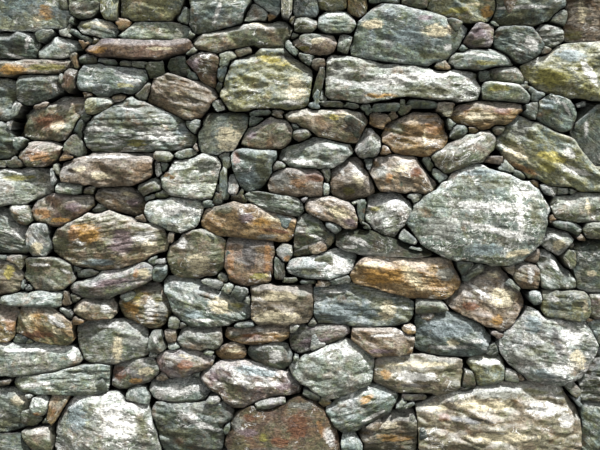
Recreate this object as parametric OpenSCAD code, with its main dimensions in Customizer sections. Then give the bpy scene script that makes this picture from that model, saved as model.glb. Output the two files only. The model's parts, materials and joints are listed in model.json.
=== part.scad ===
// Dry stone wall: two battered faces of schist on either side of a packed core,
// bonded stone heads at both ends and flat cope slabs on top. Millimetres, Z up,
// the origin on the ground at the middle of the wall, the seen face towards -Y.

/* [Wall] */
// Length of the wall over both heads
wall_length = 2440; // [2200:10:3000]
// Height of the faces, from the ground to the underside of the cope
face_height = 1430; // [1200:10:1700]
// Thickness of the wall at the ground
base_width = 620; // [560:10:760]
// Thickness of the wall under the cope
top_width = 440; // [420:10:540]

/* [Face stones] */
// How far the stones of a face reach into the wall
stone_depth = 190; // [150:5:200]
// Open joint between neighbouring stones
joint = 5; // [3:1:10]
// How far the worn rim of a stone lies behind its face
arris = 9; // [4:1:14]
// How far the upper rim of a stone, broken back by the weather, lies behind its face
top_break = 16; // [6:1:20]
// How far a stone may stand out from the face, or back from it
relief = 13; // [0:1:16]
// How far the large stones stand out from the face
large_relief = 13; // [8:1:18]
// How far the middle of a rounded boulder stands out past its rim
crown = 26; // [10:1:40]

/* [Heads] */
// Length along the wall of the runners, the pairs of stones laid along it
runner_length = 240; // [200:10:320]
// Length along the wall of the headers, the single stones laid across it
header_length = 160; // [120:10:190]

/* [Cope] */
// Thickness of the cope slabs
cope_thickness = 76; // [50:1:110]
// How far the cope slabs stand out past each face
cope_overhang = 24; // [10:1:50]

/* [Hidden] */
// The faces are drawn at these sizes and set out to the sizes above
drawn_height = 1430;
drawn_half = 980;
// A stone drawn out to this distance from the middle runs on to the wall head
drawn_edge = 940;
batter = atan((base_width - top_width) / 2 / face_height);
field_half = wall_length / 2 - runner_length;
// A worn rim is this many times as wide as it is deep
rim_slope = 3;
// Cutting shapes run past the stone by this much
margin = 20;
// Lengths below this are taken as level with the ground or the cope
level = 0.01;
// An outline that bends by less than this sine runs straight on
straight = 0.02;
sphere_facets = 96;

// Bed heights of the stones in the two heads, drawn from the ground up
west_beds = [0, 220, 338, 467, 598, 755, 883, 1015, 1147, 1285, 1430];
east_beds = [0, 165, 325, 490, 650, 792, 866, 1065, 1261, 1430];

// Shares of the wall length that the cope slabs take, from west to east
cope_shares = [15, 12, 16, 17, 13, 15, 12];
// How far each cope slab falls short of the overhang in front, and behind
cope_short = [[0, 9], [11, 3], [4, 12], [0, 0], [13, 5], [3, 10], [8, 0]];

// Outlines of the face stones, x along the wall from its middle and z up from
// the ground. Each list is one lift, and each line is one stone.
footing = [
    [[-940, 0], [-800, 0], [-825, 30], [-850, 58], [-880, 62], [-940, 63]],
    [[-795, 0], [-755, 0], [-755, 50], [-765, 83], [-800, 84], [-840, 74], [-820, 35]],
    [[-410, 0], [-248, 0], [-235, 85], [-207, 125], [-215, 140], [-250, 154], [-435, 150], [-450, 130]],
    [[130, 0], [180, 0], [193, 25], [165, 66], [133, 63], [126, 40]],
    [[190, 0], [354, 0], [358, 90], [350, 128], [320, 130], [220, 98], [172, 65], [198, 30]],
    [[862, 0], [940, 0], [940, 160], [864, 153]],
];
lift_1 = [
    [[-940, 69], [-880, 69], [-800, 92], [-780, 112], [-803, 125], [-845, 183], [-870, 196], [-940, 200]],
    [[-815, 143], [-800, 122], [-775, 125], [-762, 145], [-765, 170], [-785, 178], [-805, 170]],
    [[-757, 110], [-748, 93], [-732, 128], [-703, 176], [-750, 180], [-760, 150]],
    [[-870, 215], [-850, 194], [-740, 190], [-610, 182], [-588, 192], [-579, 270], [-620, 274], [-730, 251],
     [-860, 234]],
    [[-940, 239], [-780, 245], [-675, 277], [-664, 286], [-675, 305], [-697, 323], [-800, 333], [-940, 333]],
    [[-574, 207], [-550, 199], [-450, 231], [-434, 246], [-438, 265], [-450, 283], [-500, 285], [-570, 270]],
    [[-528, 170], [-500, 163], [-460, 157], [-457, 175], [-472, 200], [-495, 208], [-520, 190]],
    [[-460, 195], [-445, 175], [-400, 165], [-330, 159], [-297, 170], [-277, 188], [-310, 224], [-360, 227],
     [-455, 210]],
    [[-432, 290], [-420, 260], [-400, 242], [-360, 239], [-275, 266], [-266, 290], [-330, 312], [-370, 317],
     [-410, 310]],
    [[-302, 230], [-203, 145], [-175, 146], [-100, 175], [-5, 190], [0, 200], [-35, 240], [-150, 275],
     [-220, 280], [-295, 248]],
    [[-137, 152], [-130, 145], [-90, 147], [-43, 160], [-46, 169], [-90, 169]],
    [[84, 145], [90, 128], [127, 73], [145, 73], [230, 113], [275, 139], [303, 170], [240, 206], [210, 206]],
    [[229, 222], [310, 192], [440, 187], [485, 210], [492, 250], [489, 285], [380, 299], [250, 296], [231, 280]],
    [[529, 250], [542, 217], [615, 223], [624, 280], [610, 294], [530, 294], [513, 275]],
    [[858, 166], [940, 172], [940, 320], [912, 310], [890, 265], [855, 228]],
];
lift_2 = [
    [[-940, 344], [-890, 345], [-876, 360], [-862, 430], [-875, 442], [-940, 447]],
    [[-857, 370], [-750, 339], [-705, 337], [-690, 350], [-697, 405], [-720, 429], [-760, 447], [-840, 448],
     [-853, 430]],
    [[-660, 290], [-630, 280], [-560, 278], [-465, 305], [-460, 320], [-477, 380], [-500, 396], [-600, 405],
     [-683, 388], [-670, 320]],
    [[-457, 317], [-430, 312], [-407, 327], [-425, 376], [-445, 374], [-455, 350]],
    [[-370, 350], [-355, 330], [-310, 323], [-250, 324], [-238, 340], [-246, 382], [-310, 384], [-360, 380]],
    [[-257, 303], [-240, 291], [-175, 294], [-167, 310], [-172, 324], [-200, 336], [-240, 320]],
    [[-229, 355], [-200, 342], [-150, 336], [-60, 345], [-40, 360], [-40, 382], [-90, 389], [-220, 376]],
    [[-160, 306], [-140, 284], [-50, 259], [-37, 270], [-29, 300], [-40, 329], [-80, 337], [-153, 323]],
    [[-24, 316], [0, 307], [30, 315], [152, 371], [149, 384], [130, 390], [0, 382], [-24, 360]],
    [[158, 353], [190, 327], [226, 306], [300, 304], [335, 311], [345, 356], [270, 379], [210, 385], [161, 386]],
    [[312, 382], [330, 368], [348, 372], [347, 388], [335, 397], [318, 393]],
    [[353, 326], [400, 308], [520, 302], [560, 311], [586, 355], [530, 404], [450, 430], [390, 428], [356, 423]],
    [[878, 400], [898, 365], [910, 340], [940, 330], [940, 400]],
];
lift_3 = [
    [[-910, 460], [-800, 457], [-723, 459], [-723, 490], [-800, 493], [-880, 484], [-910, 475]],
    [[-940, 489], [-880, 490], [-853, 505], [-850, 540], [-865, 573], [-890, 585], [-940, 585]],
    [[-830, 530], [-805, 504], [-750, 499], [-713, 509], [-685, 535], [-700, 574], [-740, 589], [-790, 594],
     [-833, 589]],
    [[-689, 435], [-670, 420], [-610, 411], [-575, 415], [-559, 430], [-560, 450], [-577, 468], [-660, 467],
     [-692, 453]],
    [[-705, 503], [-680, 489], [-580, 480], [-450, 532], [-448, 570], [-470, 578], [-560, 560], [-650, 532]],
    [[-552, 440], [-535, 418], [-455, 384], [-425, 387], [-403, 405], [-396, 430], [-422, 495], [-440, 508],
     [-470, 512], [-557, 476]],
    [[-443, 530], [-423, 526], [-407, 545], [-407, 573], [-430, 578], [-443, 570]],
    [[-420, 522], [-380, 435], [-360, 410], [-310, 394], [-260, 392], [-155, 412], [-152, 440], [-220, 486],
     [-320, 521], [-405, 539]],
    [[-144, 450], [-143, 417], [-120, 402], [-40, 401], [20, 408], [35, 425], [38, 460], [33, 510], [-120, 513],
     [-150, 508]],
    [[-40, 565], [-35, 551], [20, 537], [90, 534], [130, 545], [153, 566], [172, 600], [160, 611], [110, 616],
     [-30, 586]],
    [[44, 480], [44, 430], [60, 407], [200, 392], [270, 397], [330, 402], [343, 460], [320, 476], [200, 507],
     [140, 515], [46, 503]],
    [[354, 432], [455, 437], [430, 463], [390, 470], [356, 471]],
    [[448, 460], [480, 438], [610, 376], [640, 386], [682, 445], [687, 475], [638, 530], [618, 563], [595, 573],
     [530, 535]],
    [[652, 540], [680, 510], [725, 504], [730, 520], [728, 565], [700, 579], [660, 576]],
    [[692, 478], [710, 459], [729, 460], [730, 495], [697, 492]],
    [[734, 445], [746, 425], [790, 422], [810, 408], [855, 408], [876, 430], [873, 480], [860, 496], [740, 497]],
    [[737, 510], [790, 504], [838, 509], [835, 540], [782, 599], [739, 619], [735, 570]],
    [[883, 420], [940, 407], [940, 485], [882, 487]],
    [[845, 506], [880, 493], [940, 492], [940, 640], [842, 642], [842, 570]],
];
lift_4 = [
    [[-940, 610], [-840, 610], [-829, 626], [-834, 660], [-860, 695], [-886, 738], [-940, 748]],
    [[-822, 630], [-805, 607], [-775, 610], [-764, 625], [-767, 673], [-775, 696], [-810, 695], [-827, 675]],
    [[-398, 600], [-385, 553], [-360, 542], [-310, 539], [-255, 543], [-240, 570], [-230, 648], [-300, 676],
     [-345, 672], [-396, 630]],
    [[-298, 720], [-293, 697], [-250, 673], [-180, 663], [-40, 650], [-22, 660], [-13, 713], [-150, 753],
     [-200, 768], [-280, 744]],
    [[-224, 570], [-215, 527], [-180, 516], [-130, 519], [-90, 532], [-82, 560], [-86, 642], [-220, 655]],
    [[-69, 618], [-50, 589], [-36, 589], [-25, 610], [-24, 634], [-50, 638]],
    [[-18, 602], [63, 609], [105, 645], [103, 665], [46, 715], [20, 725], [0, 715], [-14, 670]],
    [[12, 750], [48, 726], [130, 695], [170, 692], [175, 715], [164, 750], [120, 769], [70, 778], [30, 769]],
    [[112, 663], [112, 637], [150, 618], [320, 601], [418, 601], [370, 624], [200, 678], [140, 675]],
    [[742, 640], [785, 606], [800, 610], [828, 653], [824, 672], [785, 683], [753, 682]],
    [[765, 706], [785, 689], [843, 668], [849, 690], [810, 705]],
    [[862, 685], [873, 666], [940, 660], [940, 705], [872, 700]],
];
lift_5 = [
    [[-883, 746], [-865, 715], [-830, 702], [-817, 709], [-828, 756], [-880, 756]],
    [[-940, 762], [-840, 762], [-763, 800], [-758, 840], [-767, 866], [-940, 868]],
    [[-821, 745], [-806, 716], [-730, 696], [-690, 712], [-630, 760], [-637, 781], [-755, 788], [-803, 771]],
    [[-738, 796], [-664, 795], [-663, 817], [-733, 820]],
    [[-718, 832], [-660, 822], [-500, 820], [-457, 844], [-448, 870], [-452, 909], [-620, 915], [-700, 892],
     [-733, 884]],
    [[-616, 775], [-600, 760], [-510, 733], [-478, 737], [-473, 763], [-492, 793], [-520, 808], [-613, 799]],
    [[-493, 805], [-475, 787], [-423, 805], [-420, 823], [-440, 838], [-498, 818]],
    [[-469, 735], [-450, 712], [-380, 679], [-350, 680], [-322, 696], [-301, 728], [-300, 754], [-310, 767],
     [-430, 776], [-469, 760]],
    [[-422, 840], [-413, 810], [-385, 792], [-267, 776], [-249, 850], [-240, 885], [-257, 903], [-300, 908],
     [-380, 886]],
    [[-180, 816], [-160, 805], [-127, 805], [-100, 842], [-76, 905], [-76, 918], [-195, 921], [-209, 905],
     [-204, 868]],
    [[-168, 788], [-100, 744], [-50, 730], [-7, 728], [8, 740], [2, 760], [-20, 778], [-130, 796]],
    [[-92, 820], [-90, 799], [-50, 789], [64, 789], [71, 844], [45, 861], [-60, 863], [-83, 845]],
    [[93, 820], [97, 797], [140, 778], [170, 775], [222, 800], [194, 880], [174, 898], [155, 898], [102, 860]],
    [[202, 740], [202, 708], [257, 670], [285, 666], [342, 745], [334, 770], [280, 793], [212, 774]],
    [[222, 860], [246, 805], [380, 796], [410, 806], [418, 820], [360, 898], [260, 905], [230, 898]],
    [[768, 760], [777, 728], [800, 714], [860, 713], [940, 717], [940, 787], [860, 788], [777, 783]],
];
lift_6 = [
    [[-940, 898], [-880, 899], [-868, 915], [-880, 965], [-895, 1000], [-940, 1010]],
    [[-848, 900], [-830, 879], [-780, 874], [-728, 915], [-723, 934], [-770, 948], [-830, 943], [-849, 920]],
    [[-442, 914], [-425, 892], [-405, 891], [-387, 905], [-396, 917], [-435, 918]],
    [[-298, 923], [-260, 915], [-208, 928], [-158, 1015], [-162, 1033], [-280, 1035], [-308, 980]],
    [[-176, 945], [-130, 933], [-60, 934], [-32, 955], [-28, 985], [-47, 1009], [-90, 1026], [-152, 985]],
    [[-63, 896], [-30, 881], [90, 873], [130, 892], [161, 920], [152, 938], [40, 957], [-50, 922]],
    [[-48, 1030], [-10, 1008], [60, 973], [140, 952], [173, 952], [207, 1015], [193, 1038], [140, 1048],
     [0, 1043]],
    [[-23, 966], [-5, 953], [36, 972], [20, 986], [-15, 979]],
    [[173, 924], [195, 904], [233, 910], [243, 960], [220, 993], [204, 993]],
    [[254, 950], [280, 927], [320, 916], [390, 914], [433, 931], [447, 965], [440, 1018], [423, 1037],
     [350, 1043], [263, 1000]],
    [[403, 903], [412, 877], [440, 859], [552, 893], [582, 925], [586, 963], [573, 975], [520, 969],
     [417, 918]],
    [[457, 962], [480, 962], [507, 983], [500, 997], [480, 998]],
    [[827, 978], [847, 932], [890, 886], [940, 872], [940, 1057], [880, 1062], [849, 1033]],
];
lift_7 = [
    [[-940, 1020], [-882, 1020], [-872, 1080], [-865, 1124], [-900, 1138], [-940, 1139]],
    [[-868, 972], [-800, 962], [-713, 958], [-698, 980], [-664, 1040], [-664, 1083], [-730, 1087], [-840, 1048]],
    [[-850, 1080], [-830, 1063], [-790, 1069], [-728, 1100], [-742, 1148], [-853, 1148]],
    [[-696, 1100], [-682, 1110], [-680, 1163], [-700, 1168], [-713, 1150], [-710, 1120]],
    [[-640, 1040], [-610, 1040], [-568, 1070], [-590, 1078], [-640, 1073]],
    [[-660, 1107], [-600, 1093], [-540, 1098], [-488, 1107], [-463, 1140], [-472, 1168], [-600, 1180],
     [-660, 1180], [-672, 1120]],
    [[-460, 1075], [-330, 1017], [-305, 1030], [-253, 1088], [-265, 1110], [-350, 1143], [-400, 1156],
     [-440, 1140]],
    [[-348, 1194], [-285, 1129], [-260, 1116], [-248, 1198], [-260, 1213], [-300, 1217], [-330, 1210]],
    [[462, 1025], [500, 1004], [550, 994], [600, 1001], [640, 1013], [677, 1050], [677, 1062], [550, 1070],
     [467, 1050]],
    [[557, 1082], [640, 1074], [690, 1070], [700, 1090], [653, 1120], [600, 1125], [562, 1123]],
    [[578, 1165], [588, 1141], [675, 1129], [672, 1153], [653, 1172], [600, 1173]],
    [[722, 1030], [750, 1007], [790, 982], [820, 987], [838, 1020], [832, 1058], [755, 1088], [727, 1073]],
];
lift_8 = [
    [[-940, 1155], [-770, 1156], [-693, 1180], [-702, 1195], [-800, 1193], [-940, 1195]],
    [[-940, 1207], [-860, 1204], [-810, 1208], [-801, 1245], [-820, 1277], [-940, 1277]],
    [[-793, 1207], [-730, 1206], [-663, 1235], [-680, 1258], [-750, 1270], [-789, 1240]],
    [[-683, 1300], [-660, 1277], [-600, 1268], [-563, 1273], [-563, 1295], [-580, 1313], [-640, 1322],
     [-680, 1317]],
    [[-668, 1192], [-622, 1192], [-622, 1207], [-650, 1212], [-668, 1204]],
    [[-653, 1226], [-600, 1209], [-520, 1199], [-430, 1199], [-360, 1218], [-329, 1240], [-342, 1255],
     [-420, 1257], [-600, 1252]],
    [[-553, 1272], [-500, 1262], [-400, 1262], [-347, 1272], [-342, 1299], [-370, 1310], [-500, 1308]],
    [[-323, 1260], [-310, 1237], [-250, 1221], [-140, 1246], [-52, 1242], [-28, 1300], [-50, 1315], [-140, 1314],
     [-240, 1287]],
    [[-23, 1260], [-18, 1242], [15, 1219], [60, 1213], [98, 1227], [108, 1250], [99, 1270], [40, 1275]],
    [[-14, 1290], [34, 1283], [48, 1295], [48, 1314], [20, 1322], [-10, 1320]],
    [[55, 1295], [80, 1283], [150, 1281], [167, 1300], [158, 1323], [140, 1342], [80, 1342], [60, 1329]],
    [[116, 1230], [143, 1221], [157, 1269], [126, 1271]],
    [[457, 1195], [476, 1179], [540, 1175], [648, 1182], [624, 1212], [580, 1227], [520, 1224], [466, 1211]],
    [[498, 1251], [520, 1239], [573, 1241], [584, 1294], [550, 1307], [536, 1303]],
    [[591, 1274], [602, 1242], [665, 1192], [680, 1192], [715, 1213], [735, 1242], [700, 1288], [650, 1296],
     [610, 1292]],
    [[740, 1247], [760, 1242], [797, 1260], [798, 1294], [775, 1305], [745, 1302], [725, 1287]],
];
lift_9 = [
    [[-940, 1292], [-860, 1288], [-713, 1298], [-704, 1330], [-720, 1430], [-940, 1430]],
    [[-693, 1340], [-675, 1328], [-640, 1328], [-613, 1360], [-610, 1430], [-703, 1430]],
    [[-602, 1355], [-590, 1324], [-558, 1320], [-550, 1370], [-558, 1430], [-602, 1430]],
    [[-547, 1330], [-500, 1323], [-400, 1323], [-368, 1342], [-350, 1380], [-360, 1430], [-548, 1430]],
    [[-333, 1305], [-320, 1288], [-280, 1284], [-182, 1308], [-158, 1360], [-150, 1430], [-323, 1430]],
    [[-135, 1380], [-100, 1352], [-73, 1337], [-63, 1360], [-63, 1430], [-137, 1430]],
    [[-51, 1330], [-36, 1326], [-26, 1350], [-24, 1430], [-56, 1430]],
    [[-16, 1335], [49, 1332], [56, 1345], [46, 1430], [-19, 1430]],
    [[60, 1359], [100, 1352], [139, 1358], [139, 1430], [54, 1430]],
    [[150, 1349], [180, 1334], [200, 1343], [204, 1430], [146, 1430]],
    [[210, 1372], [250, 1376], [303, 1369], [303, 1430], [210, 1430]],
    [[310, 1369], [350, 1360], [383, 1356], [383, 1430], [310, 1430]],
    [[390, 1357], [450, 1334], [520, 1318], [557, 1314], [592, 1340], [597, 1365], [580, 1430], [390, 1430]],
    [[593, 1320], [630, 1306], [700, 1307], [760, 1328], [797, 1357], [790, 1430], [603, 1430]],
    [[809, 1275], [820, 1262], [870, 1261], [940, 1272], [940, 1430], [815, 1430], [818, 1350]],
];

// Outlines of the large stones that stand out in the seen face
pale_footing = [[-745, 0], [-418, 0], [-433, 50], [-463, 150], [-530, 160], [-555, 186], [-680, 171],
    [-710, 145], [-735, 100]];
rust_footing = [[-225, 0], [123, 0], [113, 50], [50, 162], [10, 174], [-30, 160], [-90, 139], [-150, 142],
    [-193, 115], [-215, 60]];
long_base = [[362, 0], [850, 0], [853, 80], [843, 140], [800, 198], [740, 214], [620, 216], [460, 180],
    [357, 146]];
pale_hexagon = [[-32, 260], [40, 196], [85, 174], [210, 219], [224, 290], [175, 329], [140, 346], [50, 313],
    [15, 298]];
white_boulder = [[600, 335], [620, 300], [660, 255], [710, 225], [780, 219], [848, 236], [886, 275],
    [906, 330], [893, 360], [870, 401], [750, 409], [694, 449], [683, 433], [656, 393]];
ochre_long = [[157, 545], [170, 525], [330, 481], [410, 472], [447, 477], [480, 505], [490, 540], [460, 584],
    [400, 595], [210, 598], [175, 575]];
tan_boulder = [[-761, 660], [-750, 616], [-670, 572], [-600, 566], [-540, 568], [-408, 620], [-406, 660],
    [-417, 684], [-580, 734], [-640, 728], [-730, 687]];
oval_boulder = [[324, 703], [355, 658], [403, 624], [470, 597], [600, 577], [660, 589], [710, 618],
    [732, 650], [756, 750], [730, 803], [640, 850], [530, 879], [470, 852], [428, 815], [349, 755]];
streaked_hump = [[-650, 936], [-620, 922], [-380, 925], [-330, 936], [-318, 960], [-370, 1017], [-510, 1083],
    [-600, 1033], [-650, 1008], [-663, 980]];
mossy_ramp = [[592, 945], [640, 883], [700, 846], [760, 818], [940, 797], [940, 860], [895, 870],
    [820, 950], [667, 1032], [632, 993]];
mossy_block = [[-228, 1067], [-210, 1048], [0, 1053], [23, 1066], [33, 1120], [38, 1170], [-50, 1226],
    [-120, 1225], [-210, 1193], [-238, 1100]];
long_slab = [[77, 1092], [92, 1080], [200, 1066], [320, 1085], [430, 1074], [537, 1080], [542, 1120],
    [538, 1157], [380, 1168], [100, 1209], [82, 1195]];
blue_boulder = [[158, 1240], [162, 1218], [220, 1202], [380, 1186], [430, 1196], [468, 1226], [512, 1294],
    [470, 1316], [300, 1357], [250, 1365], [182, 1314]];
mossy_corner = [[679, 1178], [683, 1150], [722, 1108], [860, 1079], [940, 1074], [940, 1250], [810, 1241],
    [703, 1189]];

lifts = [footing, lift_1, lift_2, lift_3, lift_4, lift_5, lift_6, lift_7, lift_8, lift_9];
// The large stones that belong to each lift, which the far face repeats in place
large_stones = [
    [pale_footing, rust_footing, long_base], [pale_hexagon], [white_boulder], [ochre_long],
    [tan_boulder, oval_boulder], [], [streaked_hump, mossy_ramp], [mossy_block, long_slab, mossy_corner],
    [blue_boulder], []
];
lift_colours = ["#8f8d80", "#97998c", "#8d8f86", "#949588", "#8b8579", "#9a9688", "#8f9084", "#8a8a72",
    "#868c8c", "#7f878a"];

lift_names = [for (i = [0:len(lifts) - 1]) i == 0 ? "footing" : str("lift_", i)];

// Distance from the middle of the wall to the face, and to the core, at a height
function face_at(z) = base_width / 2 - z * tan(batter);
function core_at(z) = face_at(z) - stone_depth;

function set_height(z) = z * face_height / drawn_height;
// Whether a bed of a wall head at this drawn height is a header, laid across the wall
function is_header(beds, z) = len([for (bed = beds) if (bed <= z) bed]) % 2 == 0;
function head_depth(beds, z) = is_header(beds, z) ? header_length : runner_length;
function middle_height(outline) = let (z = [for (p = outline) p[1]]) (min(z) + max(z)) / 2;

// The drawn outline at its real size, with the stones at the ends run on to the heads
function set_out(outline) =
    let (z = middle_height(outline))
    [for (p = outline) [
        p[0] <= -drawn_edge ? head_depth(west_beds, z) - wall_length / 2
            : p[0] >= drawn_edge ? wall_length / 2 - head_depth(east_beds, z)
            : p[0] * field_half / drawn_half,
        set_height(p[1])
    ]];

function unit(v) = v / norm(v);
function turning(outline) =
    let (n = len(outline), crossings = [for (i = [0:n - 1]) cross(outline[i], outline[(i + 1) % n])])
    sign(crossings * [for (c = crossings) 1]);
// Half the joint comes off each edge, and nothing where the stone meets ground or cope
function joint_share(a, b) =
    abs(a[1] - b[1]) < level && (a[1] < level || a[1] > face_height - level) ? 0 : joint / 2;
function open_joints(outline) =
    let (n = len(outline), turn = turning(outline))
    [for (i = [0:n - 1])
        let (
            a = outline[(i + n - 1) % n],
            b = outline[i],
            c = outline[(i + 1) % n],
            u = unit(b - a),
            v = unit(c - b),
            from_u = turn * [-u[1], u[0]],
            from_v = turn * [-v[1], v[0]],
            share_u = joint_share(a, b),
            share_v = joint_share(b, c),
            bend = cross(from_u, from_v)
        )
        abs(bend) < straight ? b + from_u * share_u
            : b + [
                share_u * from_v[1] - share_v * from_u[1],
                share_v * from_u[0] - share_u * from_v[0]
            ] / bend
    ];

// The two faces: the seen one is on the low side of y, the far one on the high side
seen = -1;
far = 1;

// An outline in x and z, run out from the middle of the wall past one face
module run_out(outline, side)
    translate([0, side == far ? base_width : 0, 0])
    rotate([90, 0, 0])
    linear_extrude(base_width)
    polygon(outline);
// An outline in y and z, run along the wall
module run_along(outline, x0, x1)
    translate([x0, 0, 0])
    rotate([90, 0, 90])
    linear_extrude(x1 - x0)
    polygon(outline);

// A worn profile: the two ends of a length lie behind its middle by the depth of the rim
function worn(low, high, depth, high_depth) =
    let (
        low_rim = min(depth * rim_slope, (high - low) / 3),
        high_rim = min(high_depth * rim_slope, (high - low) / 3)
    )
    [
        [low - margin, depth * (low_rim + margin) / low_rim], [low + low_rim, 0],
        [high - high_rim, 0], [high + margin, high_depth * (high_rim + margin) / high_rim]
    ];

// One stone of a face, level in its beds, with a worn rim, its upper edge broken
// back, and its tail on the core
module face_stone(drawn, proud, rim = arris, side = seen) {
    outline = open_joints(set_out(drawn));
    x = [for (p = outline) p[0]];
    z = [for (p = outline) p[1]];
    section = concat(
        [for (p = worn(min(z), max(z), rim, top_break)) [face_at(p[0]) + proud - p[1], p[0]]],
        [for (end = [max(z) + margin, min(z) - margin]) [core_at(end), end]]
    );
    plan = concat(
        worn(min(x), max(x), rim, rim),
        [[max(x) + margin, base_width], [min(x) - margin, base_width]]
    );
    intersection() {
        run_out(outline, side);
        run_along([for (p = section) [side * p[0], p[1]]], min(x) - margin, max(x) + margin);
        translate([0, side * (face_at(0) + proud), 0])
            rotate([side * batter, 0, 0])
            translate([0, 0, min(z) - margin])
            linear_extrude(max(z) - min(z) + 3 * margin)
            polygon([for (p = plan) [p[0], -side * p[1]]]);
    }
}

// One rounded boulder of the seen face, its middle crowned as part of a sphere
module boulder(drawn, proud) {
    outline = open_joints(set_out(drawn));
    x = [for (p = outline) p[0]];
    z = [for (p = outline) p[1]];
    low = min(z) - margin;
    high = max(z) + margin;
    half = max(max(x) - min(x), max(z) - min(z)) / 2;
    radius = (half * half + crown * crown) / (2 * crown);
    middle = [(min(x) + max(x)) / 2, (low + high) / 2];
    intersection() {
        run_out(outline, seen);
        run_along([[-core_at(low), low], [-core_at(high), high], [-base_width, high], [-base_width, low]],
            min(x) - margin, max(x) + margin);
        translate([middle[0], radius - face_at(middle[1]) - proud, middle[1]])
            rotate([90, 0, 0])
            sphere(radius, $fn = sphere_facets);
    }
}

// A whole lift of one face: each stone stands out or back by its own small amount
module lift(outlines, side, seed) {
    proud = rands(-relief, relief, len(outlines), seed);
    for (i = [0:len(outlines) - 1])
        face_stone(outlines[i], proud[i], side = side);
}

// Each lift has a seed of its own, so that the two faces stand out differently
front_seed = 1;
back_seed = 21;
module front_lift(i) color(lift_colours[i]) lift(lifts[i], seen, i + front_seed);
module back_lift(i) color(lift_colours[i]) lift(concat(lifts[i], large_stones[i]), far, i + back_seed);

// The large flat stones are worn further in than the rest
broad_rim = 2 * arris;
// The oval boulder stands out most
oval_extra = 8;
module pale_footing_boulder() color("#b3b8ae") boulder(pale_footing, large_relief);
module rust_footing_boulder() color("#8a5f45") boulder(rust_footing, large_relief);
module long_base_slab() color("#b5a98f") face_stone(long_base, large_relief, broad_rim);
module pale_hexagon_stone() color("#b9bdb0") boulder(pale_hexagon, large_relief);
module white_boulder() color("#c9cbc0") boulder(white_boulder, large_relief);
module ochre_long_stone() color("#a98a52") face_stone(ochre_long, large_relief, broad_rim);
module tan_boulder() color("#9c8b70") boulder(tan_boulder, large_relief);
module oval_boulder() color("#9aa39a") boulder(oval_boulder, large_relief + oval_extra);
module streaked_hump_stone() color("#a3a898") boulder(streaked_hump, large_relief);
module mossy_ramp_stone() color("#8b8c5c") face_stone(mossy_ramp, large_relief, broad_rim);
module mossy_block() color("#86894f") face_stone(mossy_block, large_relief, broad_rim);
module long_banded_slab() color("#a5a78f") face_stone(long_slab, large_relief, broad_rim);
module blue_boulder() color("#7d8a94") boulder(blue_boulder, large_relief);
module mossy_corner_block() color("#8d9068") face_stone(mossy_corner, large_relief, broad_rim);

// The packed core, toothed at its ends: it reaches between the short headers of the heads
// and is cut back where the longer runners lie
module hearting() color("#6f6a5f") {
    reach = wall_length / 2 - header_length;
    tooth = reach - field_half;
    difference() {
        run_along([[-core_at(0), 0], [core_at(0), 0], [core_at(face_height), face_height],
            [-core_at(face_height), face_height]], -reach, reach);
        for (end = [[west_beds, -reach - tooth], [east_beds, field_half]])
            for (i = [0:2:len(end[0]) - 2]) {
                low = i == 0 ? -margin : set_height(end[0][i]);
                high = i == len(end[0]) - 2 ? face_height + margin : set_height(end[0][i + 1]);
                translate([end[1], -base_width / 2, low])
                    cube([2 * tooth, base_width, high - low]);
            }
    }
}

// One stone of a wall head at the east end, from its (y, z) section, with a worn outer end
module head_stone(section, inner, outer) {
    low = section[0][1];
    high = section[2][1];
    intersection() {
        run_along(section, inner, outer);
        rotate([90, 0, 0])
            translate([0, 0, -base_width])
            linear_extrude(2 * base_width)
            polygon(concat(
                [[inner - margin, high + margin], [inner - margin, low - margin]],
                [for (p = worn(low, high, arris, arris)) [outer - p[1], p[0]]]
            ));
    }
}

// One bed of a wall head: a header across the whole wall, or a runner on each side
module head_bed(z0, z1, header, back) {
    low = z0 + (z0 > 0 ? joint / 2 : 0);
    high = z1 - (z1 < face_height ? joint / 2 : 0);
    outer = wall_length / 2 - back;
    inner = wall_length / 2 - (header ? header_length : runner_length);
    if (header)
        head_stone([[-face_at(low), low], [face_at(low), low], [face_at(high), high], [-face_at(high), high]],
            inner, outer);
    else
        for (side = [-1, 1])
            head_stone([[side * joint / 2, low], [side * face_at(low), low], [side * face_at(high), high],
                [side * joint / 2, high]], inner, outer);
}

module wall_head(beds, seed) {
    back = rands(0, relief, len(beds), seed);
    for (i = [0:len(beds) - 2])
        head_bed(set_height(beds[i]), set_height(beds[i + 1]), i % 2 == 1, i == 0 ? 0 : back[i]);
}
east_seed = 41;
west_seed = 42;
module east_head() color("#8c8f88") wall_head(east_beds, east_seed);
module west_head() color("#8c8f88") mirror([1, 0, 0]) wall_head(west_beds, west_seed);

// One cope slab, laid across the wall on its top
function total(values) = len(values) == 0 ? 0 : values * [for (v = values) 1];
function cope_start(i) =
    wall_length * (total([for (k = [0:1:i - 1]) cope_shares[k]]) / total(cope_shares) - 1 / 2);
module cope_slab(i) {
    x0 = cope_start(i) + (i > 0 ? joint / 2 : 0);
    x1 = cope_start(i + 1) - (i < len(cope_shares) - 1 ? joint / 2 : 0);
    front = top_width / 2 + cope_overhang - cope_short[i][0];
    behind = top_width / 2 + cope_overhang - cope_short[i][1];
    top = face_height + cope_thickness;
    run_along([
        [-front, face_height], [behind, face_height], [behind, top - arris], [behind - arris, top],
        [arris - front, top], [-front, top - arris]
    ], x0, x1);
}
module cope(i) color("#8f9390") cope_slab(i - 1);

hearting();
west_head();
east_head();
for (i = [0:len(lifts) - 1]) {
    front_lift(i);
    back_lift(i);
}
pale_footing_boulder();
rust_footing_boulder();
long_base_slab();
pale_hexagon_stone();
white_boulder();
ochre_long_stone();
tan_boulder();
oval_boulder();
streaked_hump_stone();
mossy_ramp_stone();
mossy_block();
long_banded_slab();
blue_boulder();
mossy_corner_block();
for (i = [1:len(cope_shares)])
    cope(i);
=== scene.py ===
import json
import math
import random
import time

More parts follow.
